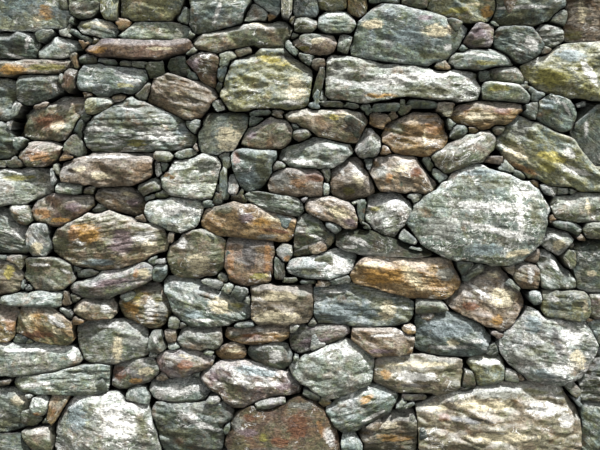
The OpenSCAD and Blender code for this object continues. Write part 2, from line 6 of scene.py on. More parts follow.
import bmesh
import bpy
import numpy as np
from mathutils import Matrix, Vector, kdtree

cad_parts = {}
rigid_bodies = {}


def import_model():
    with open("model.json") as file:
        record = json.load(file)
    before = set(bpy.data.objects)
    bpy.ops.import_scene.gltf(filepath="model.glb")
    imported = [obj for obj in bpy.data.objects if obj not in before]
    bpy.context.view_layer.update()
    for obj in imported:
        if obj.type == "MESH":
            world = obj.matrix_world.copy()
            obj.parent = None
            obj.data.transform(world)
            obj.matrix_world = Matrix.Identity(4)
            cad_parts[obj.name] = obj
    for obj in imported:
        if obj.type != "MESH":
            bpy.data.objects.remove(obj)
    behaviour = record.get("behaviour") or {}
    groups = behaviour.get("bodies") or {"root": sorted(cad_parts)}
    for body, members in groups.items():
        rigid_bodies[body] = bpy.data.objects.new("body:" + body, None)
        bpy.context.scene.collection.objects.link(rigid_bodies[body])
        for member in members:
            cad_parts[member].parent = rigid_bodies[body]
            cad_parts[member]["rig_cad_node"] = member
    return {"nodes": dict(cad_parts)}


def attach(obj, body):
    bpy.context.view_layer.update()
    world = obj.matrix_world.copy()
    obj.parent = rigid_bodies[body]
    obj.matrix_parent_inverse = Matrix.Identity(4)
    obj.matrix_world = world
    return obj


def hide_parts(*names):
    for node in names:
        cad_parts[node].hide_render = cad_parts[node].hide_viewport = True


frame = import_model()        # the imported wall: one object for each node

started = time.time()
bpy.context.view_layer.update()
mm = 0.001


def stage(words):
    print(f"{time.time() - started:6.1f} s  {words}")


# The section of the wall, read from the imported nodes

def nodePoints(name):
    return np.array([v.co for v in frame["nodes"][name].data.vertices])


def halfWidths(name):
    points = nodePoints(name)
    top = points[:, 2].max()
    return points[:, 1].max(), points[points[:, 2] > top - mm, 1].max(), top


faceFoot, faceTop, wallTop = halfWidths("east_head")
coreFoot, coreTop, coreHeight = halfWidths("hearting")
front, back = -1, 1      # the seen side lies towards -Y


def faceAt(z):
    return faceFoot + (faceTop - faceFoot) * z / wallTop


def coreAt(z):
    return coreFoot + (coreTop - coreFoot) * z / wallTop


# Noise over a plane, for the sculpting of the stones

def lattice(iu, iv, seed):
    h = np.sin(iu * 127.1 + iv * 311.7 + seed * 74.7) * 43758.5453
    return h - np.floor(h)


def softNoise(u, v, seed):
    iu, iv = np.floor(u), np.floor(v)
    fu, fv = u - iu, v - iv
    fu = fu * fu * (3 - 2 * fu)
    fv = fv * fv * (3 - 2 * fv)
    low = lattice(iu, iv, seed) * (1 - fu) + lattice(iu + 1, iv, seed) * fu
    high = lattice(iu, iv + 1, seed) * (1 - fu) + lattice(iu + 1, iv + 1, seed) * fu
    return low * (1 - fv) + high * fv


def fractal(u, v, seed, octaves=3):      # from 0 to 1
    total, weight, whole = 0.0, 1.0, 0.0
    for k in range(octaves):
        total = total + softNoise(u * 2 ** k, v * 2 ** k, seed + 11 * k) * weight
        whole += weight
        weight *= 0.5
    return total / whole


def brokenNoise(u, v, seed):     # flat facets with sharp creases, from 0 to 1, and one value for each facet
    bend = 0.9
    u, v = u + (softNoise(u, v, seed + 1) - 0.5) * bend, v + (softNoise(u, v, seed + 2) - 0.5) * bend
    iu, iv = np.floor(u), np.floor(v)
    fu, fv = u - iu, v - iv
    a, b = lattice(iu + 1, iv, seed), lattice(iu, iv + 1, seed)
    low, high = lattice(iu, iv, seed), lattice(iu + 1, iv + 1, seed)
    first = low + (a - low) * fu + (b - low) * fv
    second = high + (b - high) * (1 - fu) + (a - high) * (1 - fv)
    lower = fu + fv < 1
    return np.where(lower, first, second), lattice(iu, iv, seed + np.where(lower, 7, 9))


def between(pair, share):
    return pair[0] + (pair[1] - pair[0]) * share


def wayOf(angle):
    return np.array([math.cos(angle), math.sin(angle)])


# Outlines, as arrays of (x, z) points in anticlockwise order

def ordered(points):
    x, z = points[:, 0], points[:, 1]
    area = np.sum(x * np.roll(z, -1) - z * np.roll(x, -1))
    return points if area > 0 else points[::-1]


def spaced(points, step):
    out = []
    for a, b in zip(points, np.roll(points, -1, 0)):
        n = max(1, int(round(np.linalg.norm(b - a) / step)))
        out += [a + (b - a) * k / n for k in range(n)]
    return np.array(out)


def normalsOf(points):
    t = np.roll(points, -1, 0) - np.roll(points, 1, 0)
    n = np.stack([t[:, 1], -t[:, 0]], 1)
    return n / np.maximum(np.linalg.norm(n, axis=1, keepdims=True), 1e-9)


def cornersCut(points, share):
    after = np.roll(points, -1, 0)
    cut = (after - points) * share
    return np.stack([points + cut, after - cut], 1).reshape(-1, 2)


def turned(points, angle):
    c, s = math.cos(angle), math.sin(angle)
    return points @ np.array([[c, s], [-s, c]])


def edgeDistances(points, a, b):         # from each point to each edge that runs from a to b
    ab = b - a
    t = np.einsum("ijk,jk->ij", points[:, None] - a[None], ab) / np.maximum(np.sum(ab * ab, 1), 1e-12)
    t = np.clip(t, 0, 1)[..., None]
    return np.linalg.norm(points[:, None] - (a[None] + ab[None] * t), axis=2)


def insideOutline(point, outline):
    a, b = outline, np.roll(outline, -1, 0)
    crosses = (a[:, 1] > point[1]) != (b[:, 1] > point[1])
    rise = np.where(np.abs(b[:, 1] - a[:, 1]) < 1e-12, 1e-12, b[:, 1] - a[:, 1])
    x = a[:, 0] + (point[1] - a[:, 1]) * (b[:, 0] - a[:, 0]) / rise
    return np.sum(crosses & (x > point[0])) % 2 == 1


# Islands of the CAD nodes' meshes: each is one stone

def openNode(node):
    bm = bmesh.new()
    bm.from_mesh(frame["nodes"][node].data)
    bmesh.ops.remove_doubles(bm, verts=bm.verts, dist=1e-5)
    bm.normal_update()
    return bm


def islandsFrom(items, nextTo):
    left, islands = set(items), []
    while left:
        island, queue = [], [left.pop()]
        while queue:
            item = queue.pop()
            island.append(item)
            for other in nextTo(item):
                if other in left:
                    left.remove(other)
                    queue.append(other)
        islands.append(island)
    return islands


def stonesOf(node, side):
    bm = openNode(node)
    stones = []
    for island in islandsFrom(bm.faces, lambda face: [f for edge in face.edges for f in edge.link_faces]):
        tail = {f for f in island if f.normal.y * side < -0.9}
        after = {}
        for face in tail:
            for loop in face.loops:
                if not any(f in tail and f is not face for f in loop.edge.link_faces):
                    after[loop.vert] = loop.link_loop_next.vert
        start = vert = min(after, key=lambda v: (v.co.z, v.co.x))
        outline = []
        while True:
            outline.append((vert.co.x, vert.co.z))
            vert = after[vert]
            if vert is start:
                break
        proud = max(abs(v.co.y) - faceAt(v.co.z) for f in island for v in f.verts)
        outline = ordered(np.array(outline))
        middle = (outline.min(0) + outline.max(0)) / 2
        stones.append({"outline": outline, "proud": proud, "middle": middle, "node": node})
    bm.free()
    return sorted(stones, key=lambda s: tuple(s["middle"]))


def blocksOf(node):
    bm = openNode(node)
    islands = islandsFrom(bm.verts, lambda vert: [edge.other_vert(vert) for edge in vert.link_edges])
    blocks = [np.array([v.co for v in island]) for island in islands]
    bm.free()
    return sorted(blocks, key=lambda b: (round(b[:, 2].min(), 2), b[:, 1].min(), b[:, 0].min()))


# One letter for each stone of a lift, from left to right: the rock that it is
liftRocks = {
    "footing": "ltdbcd",
    "lift_1": "glqogplqpppdcmd",
    "lift_2": "ooggloodptobb",
    "lift_3": "cggtpodgcqbgttbgmpg",
    "lift_4": "gqtorqdtdqdg",
    "lift_5": "lgrlttgqlbgttqtg",
    "lift_6": "drgltdltqodgg",
    "lift_7": "lgtrmbtroggd",
    "lift_8": "dtldlrgggtllpldl",
    "lift_9": "bgmmbbqbmoddmdt",
}
# The large stones: the rock, how clearly its layers show where the photo tells it, how bright it is
# from -1 dark to 1 pale and a little past it, and whether its face swells
largeStones = {
    "pale_footing_boulder": ("q", 0.05, 1.3, True),
    "rust_footing_boulder": ("r", None, 0.4, True),
    "long_base_slab": ("c", 0.3, 1.0, False),
    "pale_hexagon_stone": ("l", 0.1, 0.9, True),
    "white_boulder": ("q", 0.1, 0.7, True),
    "ochre_long_stone": ("o", 0.3, 0.8, False),
    "tan_boulder": ("t", None, 0.8, True),
    "oval_boulder": ("v", 0.12, 0.8, True),
    "streaked_hump_stone": ("g", 1.0, -0.2, True),
    "mossy_ramp_stone": ("m", 0.3, 0.3, False),
    "mossy_block": ("m", 0.1, 0.5, False),
    "long_banded_slab": ("l", 0.5, 0.8, False),
    "blue_boulder": ("b", 0.12, 1.2, True),
    "mossy_corner_block": ("m", 0.1, 0.5, False),
}

seenStones, farStones = [], []
for lift, letters in liftRocks.items():
    row = stonesOf(f"front_{lift}", front)
    for stone, rock in zip(row, letters):
        stone["rock"] = rock
    seenStones += row
    farStones += stonesOf(f"back_{lift}", back)
for node, (rock, layers, tone, swells) in largeStones.items():
    stone = stonesOf(node, front)[0]
    stone.update({"rock": rock, "layers": layers, "tone": tone, "round": swells})
    seenStones.append(stone)
stage(f"{len(seenStones)} stones in the seen face, {len(farStones)} in the far face")

# Pinning stones seen in the joints: x, z, width, height in cm, tilt in degrees, rock
pinnings = [
    (-66.5, 127, 6, 1.6, -32, "d"), (-51, 109.4, 9, 1.2, 0, "l"), (-31, 98.5, 2, 6, 0, "g"),
    (-24.5, 106, 3, 2.6, 20, "q"), (-12, 103.8, 6, 1.4, 5, "d"), (6, 113, 2, 11, 0, "d"),
    (6, 118.5, 3.5, 3, 0, "t"), (10, 106.3, 12, 1.6, 0, "d"), (26, 105.2, 7, 2, 0, "g"),
    (38, 106.3, 14, 2, 0, "d"), (59.3, 130.6, 4, 1.2, 0, "g"), (68.5, 129.9, 7, 1, -5, "l"),
    (79, 124.6, 6, 1.6, 30, "l"), (81, 134.8, 2.5, 3, 0, "q"), (86, 106.4, 4.5, 1.4, 15, "q"),
    (60.5, 98.7, 3.6, 2.8, 0, "t"), (-88.3, 99.5, 1.6, 4, 0, "q"), (-75, 84.3, 1.6, 6, 12, "q"),
    (-84, 53, 1.6, 8, 20, "q"), (-62.5, 55.3, 9, 2.4, 8, "g"), (-71, 48, 1.6, 4, 0, "t"),
    (-43, 87, 1.4, 5.5, 5, "q"), (-23.3, 83.5, 2, 11, 0, "b"), (-20.2, 82, 2.6, 5, 10, "q"),
    (-27, 67, 7, 1.6, -25, "g"), (-39, 66.5, 1.6, 4, 0, "t"), (-6.4, 57, 3, 6, 0, "d"),
    (-42, 58.8, 2.5, 1.2, 0, "q"), (2, 77.5, 3.5, 1.4, 20, "p"), (18.3, 73, 2, 6.5, 0, "d"),
    (20.5, 69.6, 5.5, 1.8, -10, "d"), (32.5, 65.7, 4.6, 3, -40, "q"), (35, 62.9, 5, 1, -15, "l"),
    (2.5, 52.4, 8, 1, 0, "d"), (58.6, 89.5, 4.6, 2, 0, "t"), (75.6, 80.3, 4.2, 2.8, -10, "q"),
    (86, 66, 2.8, 1.8, 0, "t"), (67.5, 59.6, 6, 1.6, 10, "g"), (53, 55, 7, 2.4, 38, "g"),
    (64, 54, 2.5, 6, -35, "d"), (-71, 42.8, 4, 3, -30, "d"), (-81.5, 18.1, 4.5, 1.6, 5, "l"),
    (-89.5, 22, 5, 1.4, 10, "t"), (-47, 29.4, 4.5, 1.2, 5, "q"), (-27.5, 52.2, 7, 2, -12, "l"),
    (-18.5, 48.6, 3.4, 5, -30, "b"), (-4, 53, 10, 1.4, 0, "g"), (-38.2, 40.2, 2.6, 2.8, 0, "b"),
    (-39, 36.2, 3, 3.4, 0, "t"), (-21.7, 38.8, 4, 1.8, 0, "l"), (-17, 39.4, 5, 1.6, 0, "b"),
    (-1.6, 28.9, 2.6, 2.6, 0, "b"), (-26.6, 29.4, 2.2, 3, 0, "p"), (-26.5, 16.9, 5.5, 1.6, 5, "q"),
    (14.6, 36.4, 2.6, 1, 15, "d"), (28.8, 38.6, 4.6, 1.4, -15, "d"), (12, 18.2, 10, 1, 22, "l"),
    (3.5, 18.4, 4.5, 1.8, -20, "d"), (34.5, 17.4, 8, 1.8, 0, "p"), (32.5, 14.6, 5, 1.2, 25, "d"),
    (60.8, 36.8, 5, 2, 15, "p"), (51, 23.2, 2.8, 4.6, 0, "d"), (63.5, 23.9, 3.6, 3.6, 0, "g"),
    (82.8, 20.2, 4.5, 2.6, -40, "g"),
]

# Marks that stand out on single stones of the seen face: x, z, width, height in cm, tilt, tint.
# A mark stays on the stone that holds its middle
tints = {
    "white": "#eceae2", "cream": "#d8cca9", "ochre": "#a98141", "orange": "#9d764c", "rust": "#7a5239",
    "moss": "#858040", "olive": "#66674c", "blue": "#869494", "dark": "#403d38", "mauve": "#7f6e70",
    "grey": "#8f9086", "yellow": "#bfb25f",
}
marks = [
    # topmost stones, from the left
    (-77, 134, 4, 4, 0, "ochre"), (-79.7, 132, 2.5, 2, 0, "cream"), (-86, 129.3, 10, 1.5, 0, "olive"),
    (-82.3, 125.2, 1.2, 7, -15, "white"), (-85.8, 120.6, 7, 1, -15, "white"),
    (-87, 116.7, 8, 3, 0, "ochre"), (-76.6, 117.5, 10, 2, 4, "moss"), (-61.3, 122.5, 6, 2, 0, "ochre"),
    (-58.2, 125.2, 5, 1.5, 0, "mauve"), (-42.2, 122.8, 8, 1.2, 0, "cream"),
    (-59.4, 130.5, 6, 2, -10, "cream"), (-65, 130.5, 4, 3, 0, "moss"), (-51.7, 114, 7, 1.5, -12, "white"),
    (-53.6, 115.8, 5, 1.6, 0, "dark"), (-52.5, 111.8, 6, 1.5, 0, "moss"),
    (-74.7, 112.1, 5, 1, -45, "white"), (-75.5, 101.4, 8, 4, 0, "rust"), (-73.5, 99.5, 4, 3, 0, "cream"),
    (-85.4, 99.9, 3, 2, 0, "ochre"), (-60.9, 98.7, 9, 1.5, -5, "white"),
    (-51.7, 104.9, 9, 1.2, -20, "white"), (-41, 96.8, 9, 4, -35, "white"), (-35.8, 98.5, 4, 4, 0, "blue"),
    (-49, 94.5, 6, 2, 0, "moss"), (-37.6, 109.1, 3, 1.5, 0, "cream"), (-32.2, 118.3, 4, 4, 0, "mauve"),
    # topmost stones, middle
    (-25, 133.6, 8, 1.5, 70, "white"), (-5.5, 129.7, 5, 5, 0, "olive"), (-12, 130.9, 6, 1.6, 0, "cream"),
    (-8, 119.5, 10, 2.5, -12, "yellow"), (-4, 121, 6, 2, -10, "dark"), (-1.3, 110.6, 6, 8, 0, "cream"),
    (-2.5, 106.6, 6, 1.5, 0, "white"), (12, 115, 7, 7, 0, "grey"), (33, 114.3, 30, 3, 6, "white"),
    (36, 109.8, 26, 3, 2, "olive"), (23.6, 108.6, 8, 1.5, 0, "ochre"), (32.3, 126.7, 9, 6, 0, "blue"),
    (37.7, 132.2, 6, 1.8, 0, "mauve"), (41.5, 128.2, 8, 4, 0, "cream"), (21.7, 130.2, 6, 3, 0, "cream"),
    (41.5, 120.9, 12, 2, 0, "olive"), (44.9, 123.6, 3, 2, 40, "white"), (4.4, 125.6, 6, 2, 0, "cream"),
    (0.6, 123.2, 5, 1.6, 0, "moss"), (10.6, 133.4, 6, 1.4, 0, "white"), (15.2, 103, 6, 2, 0, "cream"),
    (15.9, 98.7, 5, 2, 0, "dark"), (10.2, 102.2, 3, 2, 0, "yellow"), (-14.7, 96.8, 3, 3, 0, "mauve"),
    (-10, 101, 3, 2, 0, "mauve"),
    # topmost stones, right
    (56.8, 134.3, 4, 4, 0, "ochre"), (53.7, 136.6, 6, 1, 0, "cream"), (47.5, 134.5, 9, 2, 10, "moss"),
    (68, 135.5, 14, 1.2, 0, "white"), (85.5, 134.3, 3, 8, 0, "cream"), (83.5, 127.8, 5, 3, 0, "moss"),
    (53.7, 127.8, 4, 3, 0, "mauve"), (53.7, 125, 5, 2, 0, "olive"), (56, 120.9, 9, 1.2, -8, "white"),
    (55.6, 118.6, 7, 1.4, 0, "moss"), (69.5, 124.4, 4, 5, 20, "white"), (75.8, 129.3, 4, 1.4, 0, "white"),
    (81.7, 120.9, 9, 4, -10, "blue"), (87, 115.5, 9, 2.6, -60, "white"), (75.5, 114.4, 9, 6, 0, "moss"),
    (60, 111, 7, 2, 0, "moss"), (62.5, 112.3, 8, 0.8, -5, "white"), (49.9, 105.6, 4, 2, 0, "rust"),
    (61, 104.1, 6, 2.5, 0, "rust"), (54.5, 102.2, 9, 2.6, 0, "cream"), (40.7, 99.1, 5, 5, 0, "orange"),
    (37.7, 95.7, 1, 6, 0, "cream"), (29.5, 99.1, 4, 4, 0, "olive"), (52, 95, 9, 1.5, 22, "white"),
    (74.8, 106.3, 4, 3, 0, "blue"), (80.5, 104.4, 5, 1, -50, "white"), (86.5, 99, 1.2, 7, 0, "white"),
    (66.7, 98.5, 6, 4, 0, "grey"), (64.5, 91, 8, 6, 0, "cream"), (68, 86.8, 11, 1.6, -25, "orange"),
    (76.6, 90, 9, 3, -20, "yellow"), (80.8, 91.5, 4, 2.6, -40, "white"),
    (82.9, 86.1, 10, 2.2, -15, "white"), (74.5, 87.2, 5, 3.5, 0, "moss"),
    # middle height, left
    (-85.4, 84, 9, 2, 0, "moss"), (-84.3, 86, 12, 1, 0, "white"), (-57.5, 90.3, 14, 1, 0, "white"),
    (-59.4, 84.7, 8, 2.4, 0, "cream"), (-66.3, 86.7, 4, 2, 0, "cream"), (-78.5, 90.3, 7, 3, 0, "orange"),
    (-78.5, 73.3, 5, 3, 0, "orange"), (-72.8, 71.2, 6, 1.5, 0, "ochre"), (-68.6, 75.2, 5, 3, 0, "mauve"),
    (-52.5, 79.3, 6, 1.4, -25, "cream"), (-50.5, 76.4, 4, 2.5, 0, "mauve"),
    (-40.2, 74.3, 9, 3.6, 0, "white"), (-64, 67.5, 9, 6, 0, "ochre"), (-68.6, 67, 3, 5, 0, "orange"),
    (-53.6, 64.8, 7, 7, 0, "mauve"), (-46.8, 66.4, 6, 4, 0, "white"), (-45.6, 62.9, 4, 4, 0, "cream"),
    (-73, 63.7, 5, 6, 0, "olive"), (-62, 58.6, 12, 2, 0, "blue"), (-42.2, 64.5, 2.6, 6, 0, "olive"),
    (-85.5, 67.5, 5, 4, 0, "white"), (-79.3, 63, 3, 4, 0, "cream"), (-78.5, 57.8, 6, 1.2, 0, "white"),
    (-70.6, 55.8, 4, 1, -30, "white"), (-47, 55, 4, 3, 0, "cream"), (-49.5, 55, 1.5, 3.5, 0, "orange"),
    (-57.5, 52.5, 12, 2, 8, "mauve"), (-88.5, 55.7, 3, 5, 0, "yellow"), (-36, 64.5, 4, 3, -60, "white"),
    (-31, 58, 7, 6, 0, "cream"),
    # middle height, centre
    (-21.5, 95.7, 8, 8, 0, "cream"), (-19.2, 89.9, 2.4, 4.5, 0, "rust"), (-11.5, 86, 4, 10, 0, "olive"),
    (-16, 83.8, 6, 4, 0, "blue"), (9.2, 93.7, 6, 1.5, -25, "white"), (0.4, 88.8, 10, 2, -10, "white"),
    (-5.8, 83.4, 6, 5, 0, "grey"), (4.6, 84.6, 6, 4, 0, "rust"), (-0.4, 82.6, 4, 3.5, 0, "orange"),
    (-23.4, 74.6, 6, 3, 0, "olive"), (-16, 72, 5, 3, 0, "mauve"), (-11.5, 70.8, 5, 3, 0, "ochre"),
    (-7.3, 71.5, 6, 1.5, -15, "cream"), (-7.3, 68, 10, 1.2, -10, "rust"), (-10, 66.2, 6, 1.5, 0, "grey"),
    (-21, 59, 2, 11, 0, "orange"), (-15.3, 60, 5, 9, 0, "dark"), (-9.8, 60.5, 2, 9, 0, "orange"),
    (-12.4, 54.2, 5, 2, 0, "moss"), (5.3, 65.8, 6, 1, -25, "white"), (2.3, 63, 7, 1, 20, "white"),
    (9.2, 64.7, 2, 3, 0, "cream"), (17.6, 65, 7, 1.8, -20, "white"), (15, 63.1, 5, 1, 0, "white"),
    (15, 70.8, 5, 2, -30, "mauve"), (11.8, 73.8, 6, 3, -20, "cream"),
    # the oval boulder
    (55, 85.8, 12, 2, 5, "blue"), (57.7, 82, 8.5, 2.5, 0, "olive"), (67.5, 79.5, 9, 3, -10, "white"),
    (57.7, 75.4, 24, 3, -3, "white"), (66.1, 72.9, 2.2, 14, 0, "white"), (59, 68.2, 24, 2.4, -14, "white"),
    (65.5, 61.3, 8, 2.2, 10, "cream"), (55.6, 62.6, 11, 3.5, 0, "blue"), (42, 69, 10, 7, 0, "grey"),
    (70.8, 74, 3, 8, 0, "olive"),
    # middle height, right
    (-4, 60, 2, 2, 0, "orange"), (11.6, 57.6, 8, 4, 0, "white"), (2.5, 55.8, 6, 2, 0, "olive"),
    (22.9, 54.8, 8, 5, 0, "ochre"), (22.9, 58, 7, 1.6, 0, "cream"), (28.2, 55, 9, 5, 0, "ochre"),
    (34, 54.5, 9, 4, -55, "cream"), (44.2, 55, 6, 4.5, 0, "grey"), (12.8, 86, 1.5, 3, 30, "white"),
    (17.4, 86.3, 3, 4.5, 30, "white"), (17.8, 83, 2.6, 4.5, 30, "cream"), (14.7, 79.9, 4, 2, 0, "moss"),
    (24.8, 85.8, 3, 5, 0, "grey"), (26.8, 83.6, 2, 3, 0, "orange"), (31, 86.8, 5, 2, 0, "cream"),
    (35, 85.8, 4, 3, 0, "rust"), (32, 89, 5, 0.8, 0, "white"), (29, 76, 7, 3, 0, "white"),
    (23, 74.5, 3, 1.4, 0, "moss"), (26.2, 73, 5, 2, 0, "grey"), (70, 54.6, 2.6, 4, 0, "white"),
    (77.5, 57.5, 4, 2, -45, "white"), (78.3, 63.8, 4, 3, 0, "cream"), (86.7, 75.5, 1.5, 5, 0, "cream"),
    (88.4, 55, 3, 2, 0, "cream"),
    # lower stones, left
    (-82, 42, 4, 3, 0, "cream"), (-78.9, 43, 4, 2.4, 0, "ochre"), (-73.6, 41, 6, 2, -30, "white"),
    (-79, 36.8, 9, 2.4, 0, "rust"), (-73, 37.8, 4, 2, -20, "cream"), (-88.1, 40.4, 4, 5, 0, "orange"),
    (-59, 44.2, 3, 3, 0, "white"), (-66.3, 44, 4, 3, 0, "cream"), (-50, 47.5, 4, 4, 0, "yellow"),
    (-51.5, 44.5, 5, 4, 0, "ochre"), (-45.5, 43.9, 3.4, 7, 0, "white"), (-42, 43.9, 3, 6, 0, "grey"),
    (-55.2, 32.5, 3, 8, 0, "cream"), (-58, 38.8, 8, 1, 0, "white"), (-50.5, 35, 6, 4, 0, "grey"),
    (-43.3, 35.6, 2.5, 2.4, 0, "white"), (-80.4, 32, 20, 1, 0, "white"), (-69.3, 30, 3, 2, -40, "white"),
    (-80, 21.5, 10, 1.4, 8, "white"), (-55, 24.4, 4, 4, 0, "rust"), (-46.5, 25.5, 5, 2.4, 0, "cream"),
    (-50, 22.6, 4, 2, 0, "ochre"), (-39.5, 28, 3, 2.4, 0, "white"), (-35, 27.6, 4, 2.4, 0, "rust"),
    (-37, 19.4, 12, 3, 0, "white"), (-67.5, 11.5, 7, 8, 0, "blue"), (-57, 13.7, 9, 4, 0, "white"),
    (-54.5, 9.3, 11, 6, 0, "white"), (-47.6, 9, 3, 7, 0, "olive"), (-85, 16.5, 5, 3, 0, "cream"),
    (-87.5, 10.2, 7, 3, 0, "olive"), (-78.9, 13.2, 3, 1.2, 0, "orange"),
    (-74.5, 13.5, 1.2, 4, -20, "orange"),
    # lower stones, centre
    (-24.2, 45.6, 6, 5, 0, "cream"), (-19.2, 44.5, 4, 3, 0, "moss"), (-31.8, 43, 5, 3, 0, "blue"),
    (-30, 41, 7, 1, 0, "white"), (-6.5, 48.5, 12, 3, 0, "cream"), (-7.4, 42.2, 13, 4, 0, "cream"),
    (0.6, 48.6, 3, 3.6, 0, "olive"), (26.5, 44, 5, 6, 0, "cream"), (12.4, 43.5, 12, 6, 0, "blue"),
    (9.5, 49.6, 8, 1, 0, "white"), (-15, 35.8, 7, 1.8, 0, "rust"), (-20, 36, 4, 2, 0, "olive"),
    (-12.4, 38, 3, 1, 0, "white"), (4, 34, 10, 2.5, 12, "mauve"), (1.9, 37, 8, 1.4, 0, "grey"),
    (25, 36.7, 7, 1, 0, "white"), (24, 32, 8, 1.4, 0, "mauve"), (-20.4, 31.6, 5, 1.2, 0, "cream"),
    (-7.5, 30, 4, 3.5, 0, "white"), (-33.9, 28.2, 4, 3, 0, "rust"), (-34.5, 30.2, 5, 1, -15, "cream"),
    (14.5, 31.6, 4, 2, 0, "white"), (-14.1, 25.6, 12, 2.6, -8, "blue"), (-18, 23.6, 9, 2, -35, "white"),
    (-9.5, 21.6, 9, 1.8, 0, "white"), (-5, 20.8, 5, 2.4, 0, "mauve"), (-21.5, 21, 7, 3, -50, "olive"),
    (-26.3, 24, 4, 3, -40, "mauve"), (22, 12.2, 8, 1.4, 28, "white"), (20, 17.5, 4, 1.8, 25, "ochre"),
    (-33.5, 12, 6, 2, 0, "white"), (-29.5, 9.3, 11, 2, -20, "white"), (-36.4, 7, 12, 3, 0, "olive"),
    (-30, 13.5, 8, 1.5, -10, "grey"), (-15, 11.5, 5, 2.5, 0, "rust"), (-19, 9.3, 4, 5, 0, "grey"),
    (-0.5, 9.8, 7, 7, 0, "rust"), (6.5, 8.1, 2, 6, 20, "orange"), (9, 5.5, 3, 5, 20, "white"),
    (1, 15.6, 8, 2, 0, "grey"), (-15.8, 7.3, 6, 2.5, 0, "mauve"), (-6, 4.7, 6, 3, 0, "rust"),
    (-11, 5.8, 3, 2.4, 0, "moss"),
    # lower stones, right
    (44.2, 38.2, 16, 5, 0, "blue"), (45.9, 32.8, 12, 1.5, 0, "white"), (46.3, 34.2, 4, 2, 0, "cream"),
    (53.5, 34.8, 6, 1.2, 0, "white"), (34.5, 24.2, 14, 3, 0, "white"), (26.1, 24.7, 3, 3, 0, "ochre"),
    (36.6, 27.7, 20, 1.5, 0, "cream"), (45.5, 25, 4, 3, 0, "olive"), (34.5, 21.3, 12, 1.2, 0, "dark"),
    (57.3, 28.2, 8, 1.4, 0, "white"), (70.5, 40, 5, 5, 0, "blue"), (82, 36.5, 9, 5, 0, "white"),
    (77, 35.2, 3, 8, 10, "dark"), (66.8, 30.5, 8, 4, 0, "grey"), (71, 32.5, 8, 2.4, 15, "olive"),
    (73.7, 25.5, 8, 3, 0, "blue"), (83.5, 29, 6, 6, 0, "cream"), (78.7, 27.2, 8, 4, 0, "white"),
    (51.5, 45.2, 5, 3, 0, "rust"), (61.5, 47.5, 8, 6, 0, "cream"), (59.5, 41, 4, 3, 0, "ochre"),
    (54.8, 49.5, 8, 1.4, -35, "white"), (59, 54.5, 5, 2.4, 0, "cream"), (76, 47.6, 4, 2, 0, "white"),
    (85.8, 45.5, 2, 4, 0, "cream"), (60, 19.2, 26, 3.6, 0, "grey"), (71.5, 19.5, 8, 1.6, 0, "olive"),
    (55.6, 15.3, 18, 3, 0, "cream"), (74.5, 14.2, 12, 4, 0, "white"), (80.5, 10.8, 5, 4, 0, "white"),
    (52, 11, 14, 2, 0, "dark"), (41, 14, 7, 2, 0, "cream"), (43.5, 11.5, 3, 3, 0, "rust"),
    (60, 6, 20, 3, 0, "cream"), (27, 9, 5, 2.6, 0, "cream"), (28.2, 5, 12, 2, -5, "ochre"),
]

# How the stones fill the face: joints close up where stones are near, chips fill what is left
fitting = {
    "step": 5 * mm,          # spacing of the points that feel for neighbours
    "clear": 0.2 * mm,       # half of the thinnest joint
    "reach": 30 * mm,        # joints wider than this stay open, for pinnings
    "most": 13 * mm,         # how far an outline may grow
    "alone": 0.35,           # the share of that where no neighbour is near
    "headX": 0.975,          # stones that run on to a wall head don't grow there
    "rays": 20,              # rays that feel for the outline of a pinning or a chip
    "arm": 0.65,             # a longer share of the rays beside it would make an arm into a joint
    "chipClear": 3 * mm,     # open joint round a chip
    "chipSample": 7 * mm,    # spacing of the places where chips are tried
    "chipSmallest": 7.5 * mm,    # a place nearer to a stone takes none
    "chipLargest": 42 * mm,
}


def feelers(outlines):
    points, owners, normals = [], [], []
    for i, outline in enumerate(outlines):
        p = spaced(outline, fitting["step"])
        points.append(p)
        normals.append(normalsOf(p))
        owners += [i] * len(p)
    points, normals = np.concatenate(points), np.concatenate(normals)
    tree = kdtree.KDTree(len(points))
    for k, (x, z) in enumerate(points):
        tree.insert((x, 0, z), k)
    tree.balance()
    return tree, owners, normals


def closeJoints(stones):
    tree, owners, _ = feelers([s["outline"] for s in stones])
    for i, stone in enumerate(stones):
        points = spaced(stone["outline"], 2 * fitting["step"])
        grow = []
        for x, z in points:
            gaps = [d for _, k, d in tree.find_range((x, 0, z), fitting["reach"]) if owners[k] != i]
            if abs(x) > fitting["headX"] or z < 2 * mm or z > wallTop - 2 * mm:
                grow.append(0.0)
            elif gaps:
                grow.append(min(max(min(gaps) / 2 - fitting["clear"], 0), fitting["most"]))
            else:
                grow.append(fitting["most"] * fitting["alone"])
        grow = np.array(grow)
        grow = np.minimum(grow, (np.roll(grow, 1) + np.roll(grow, -1)) / 2)
        stone["grown"] = points + normalsOf(points) * grow[:, None]
        stone["grown"][:, 1] = np.clip(stone["grown"][:, 1], 0, wallTop)


def starOutline(centre, tree, taken, sides):
    # goes out from the centre along rays until a side or a neighbour is near
    ways, reach = [], []
    for k in range(fitting["rays"]):
        angle = 2 * math.pi * k / fitting["rays"]
        way = wayOf(angle)
        gone = 0.0
        limit = min(far / max(math.cos(angle - facing), 0.1) for facing, far in sides)
        while gone < limit:
            at = centre + way * gone
            near = tree.find((at[0], 0, at[1]))[2]
            for other in taken:
                near = min(near, np.linalg.norm(other - at, axis=1).min())
            if near < fitting["chipClear"]:
                break
            gone += max(near - fitting["chipClear"] * 0.8, 1 * mm)
        ways.append(way)
        reach.append(min(gone, limit))
    ways, reach = np.array(ways), np.array(reach)
    for _ in range(3):
        reach = np.minimum(reach, fitting["arm"] * (np.roll(reach, 1) + np.roll(reach, -1)))
    return centre + ways * reach[:, None]


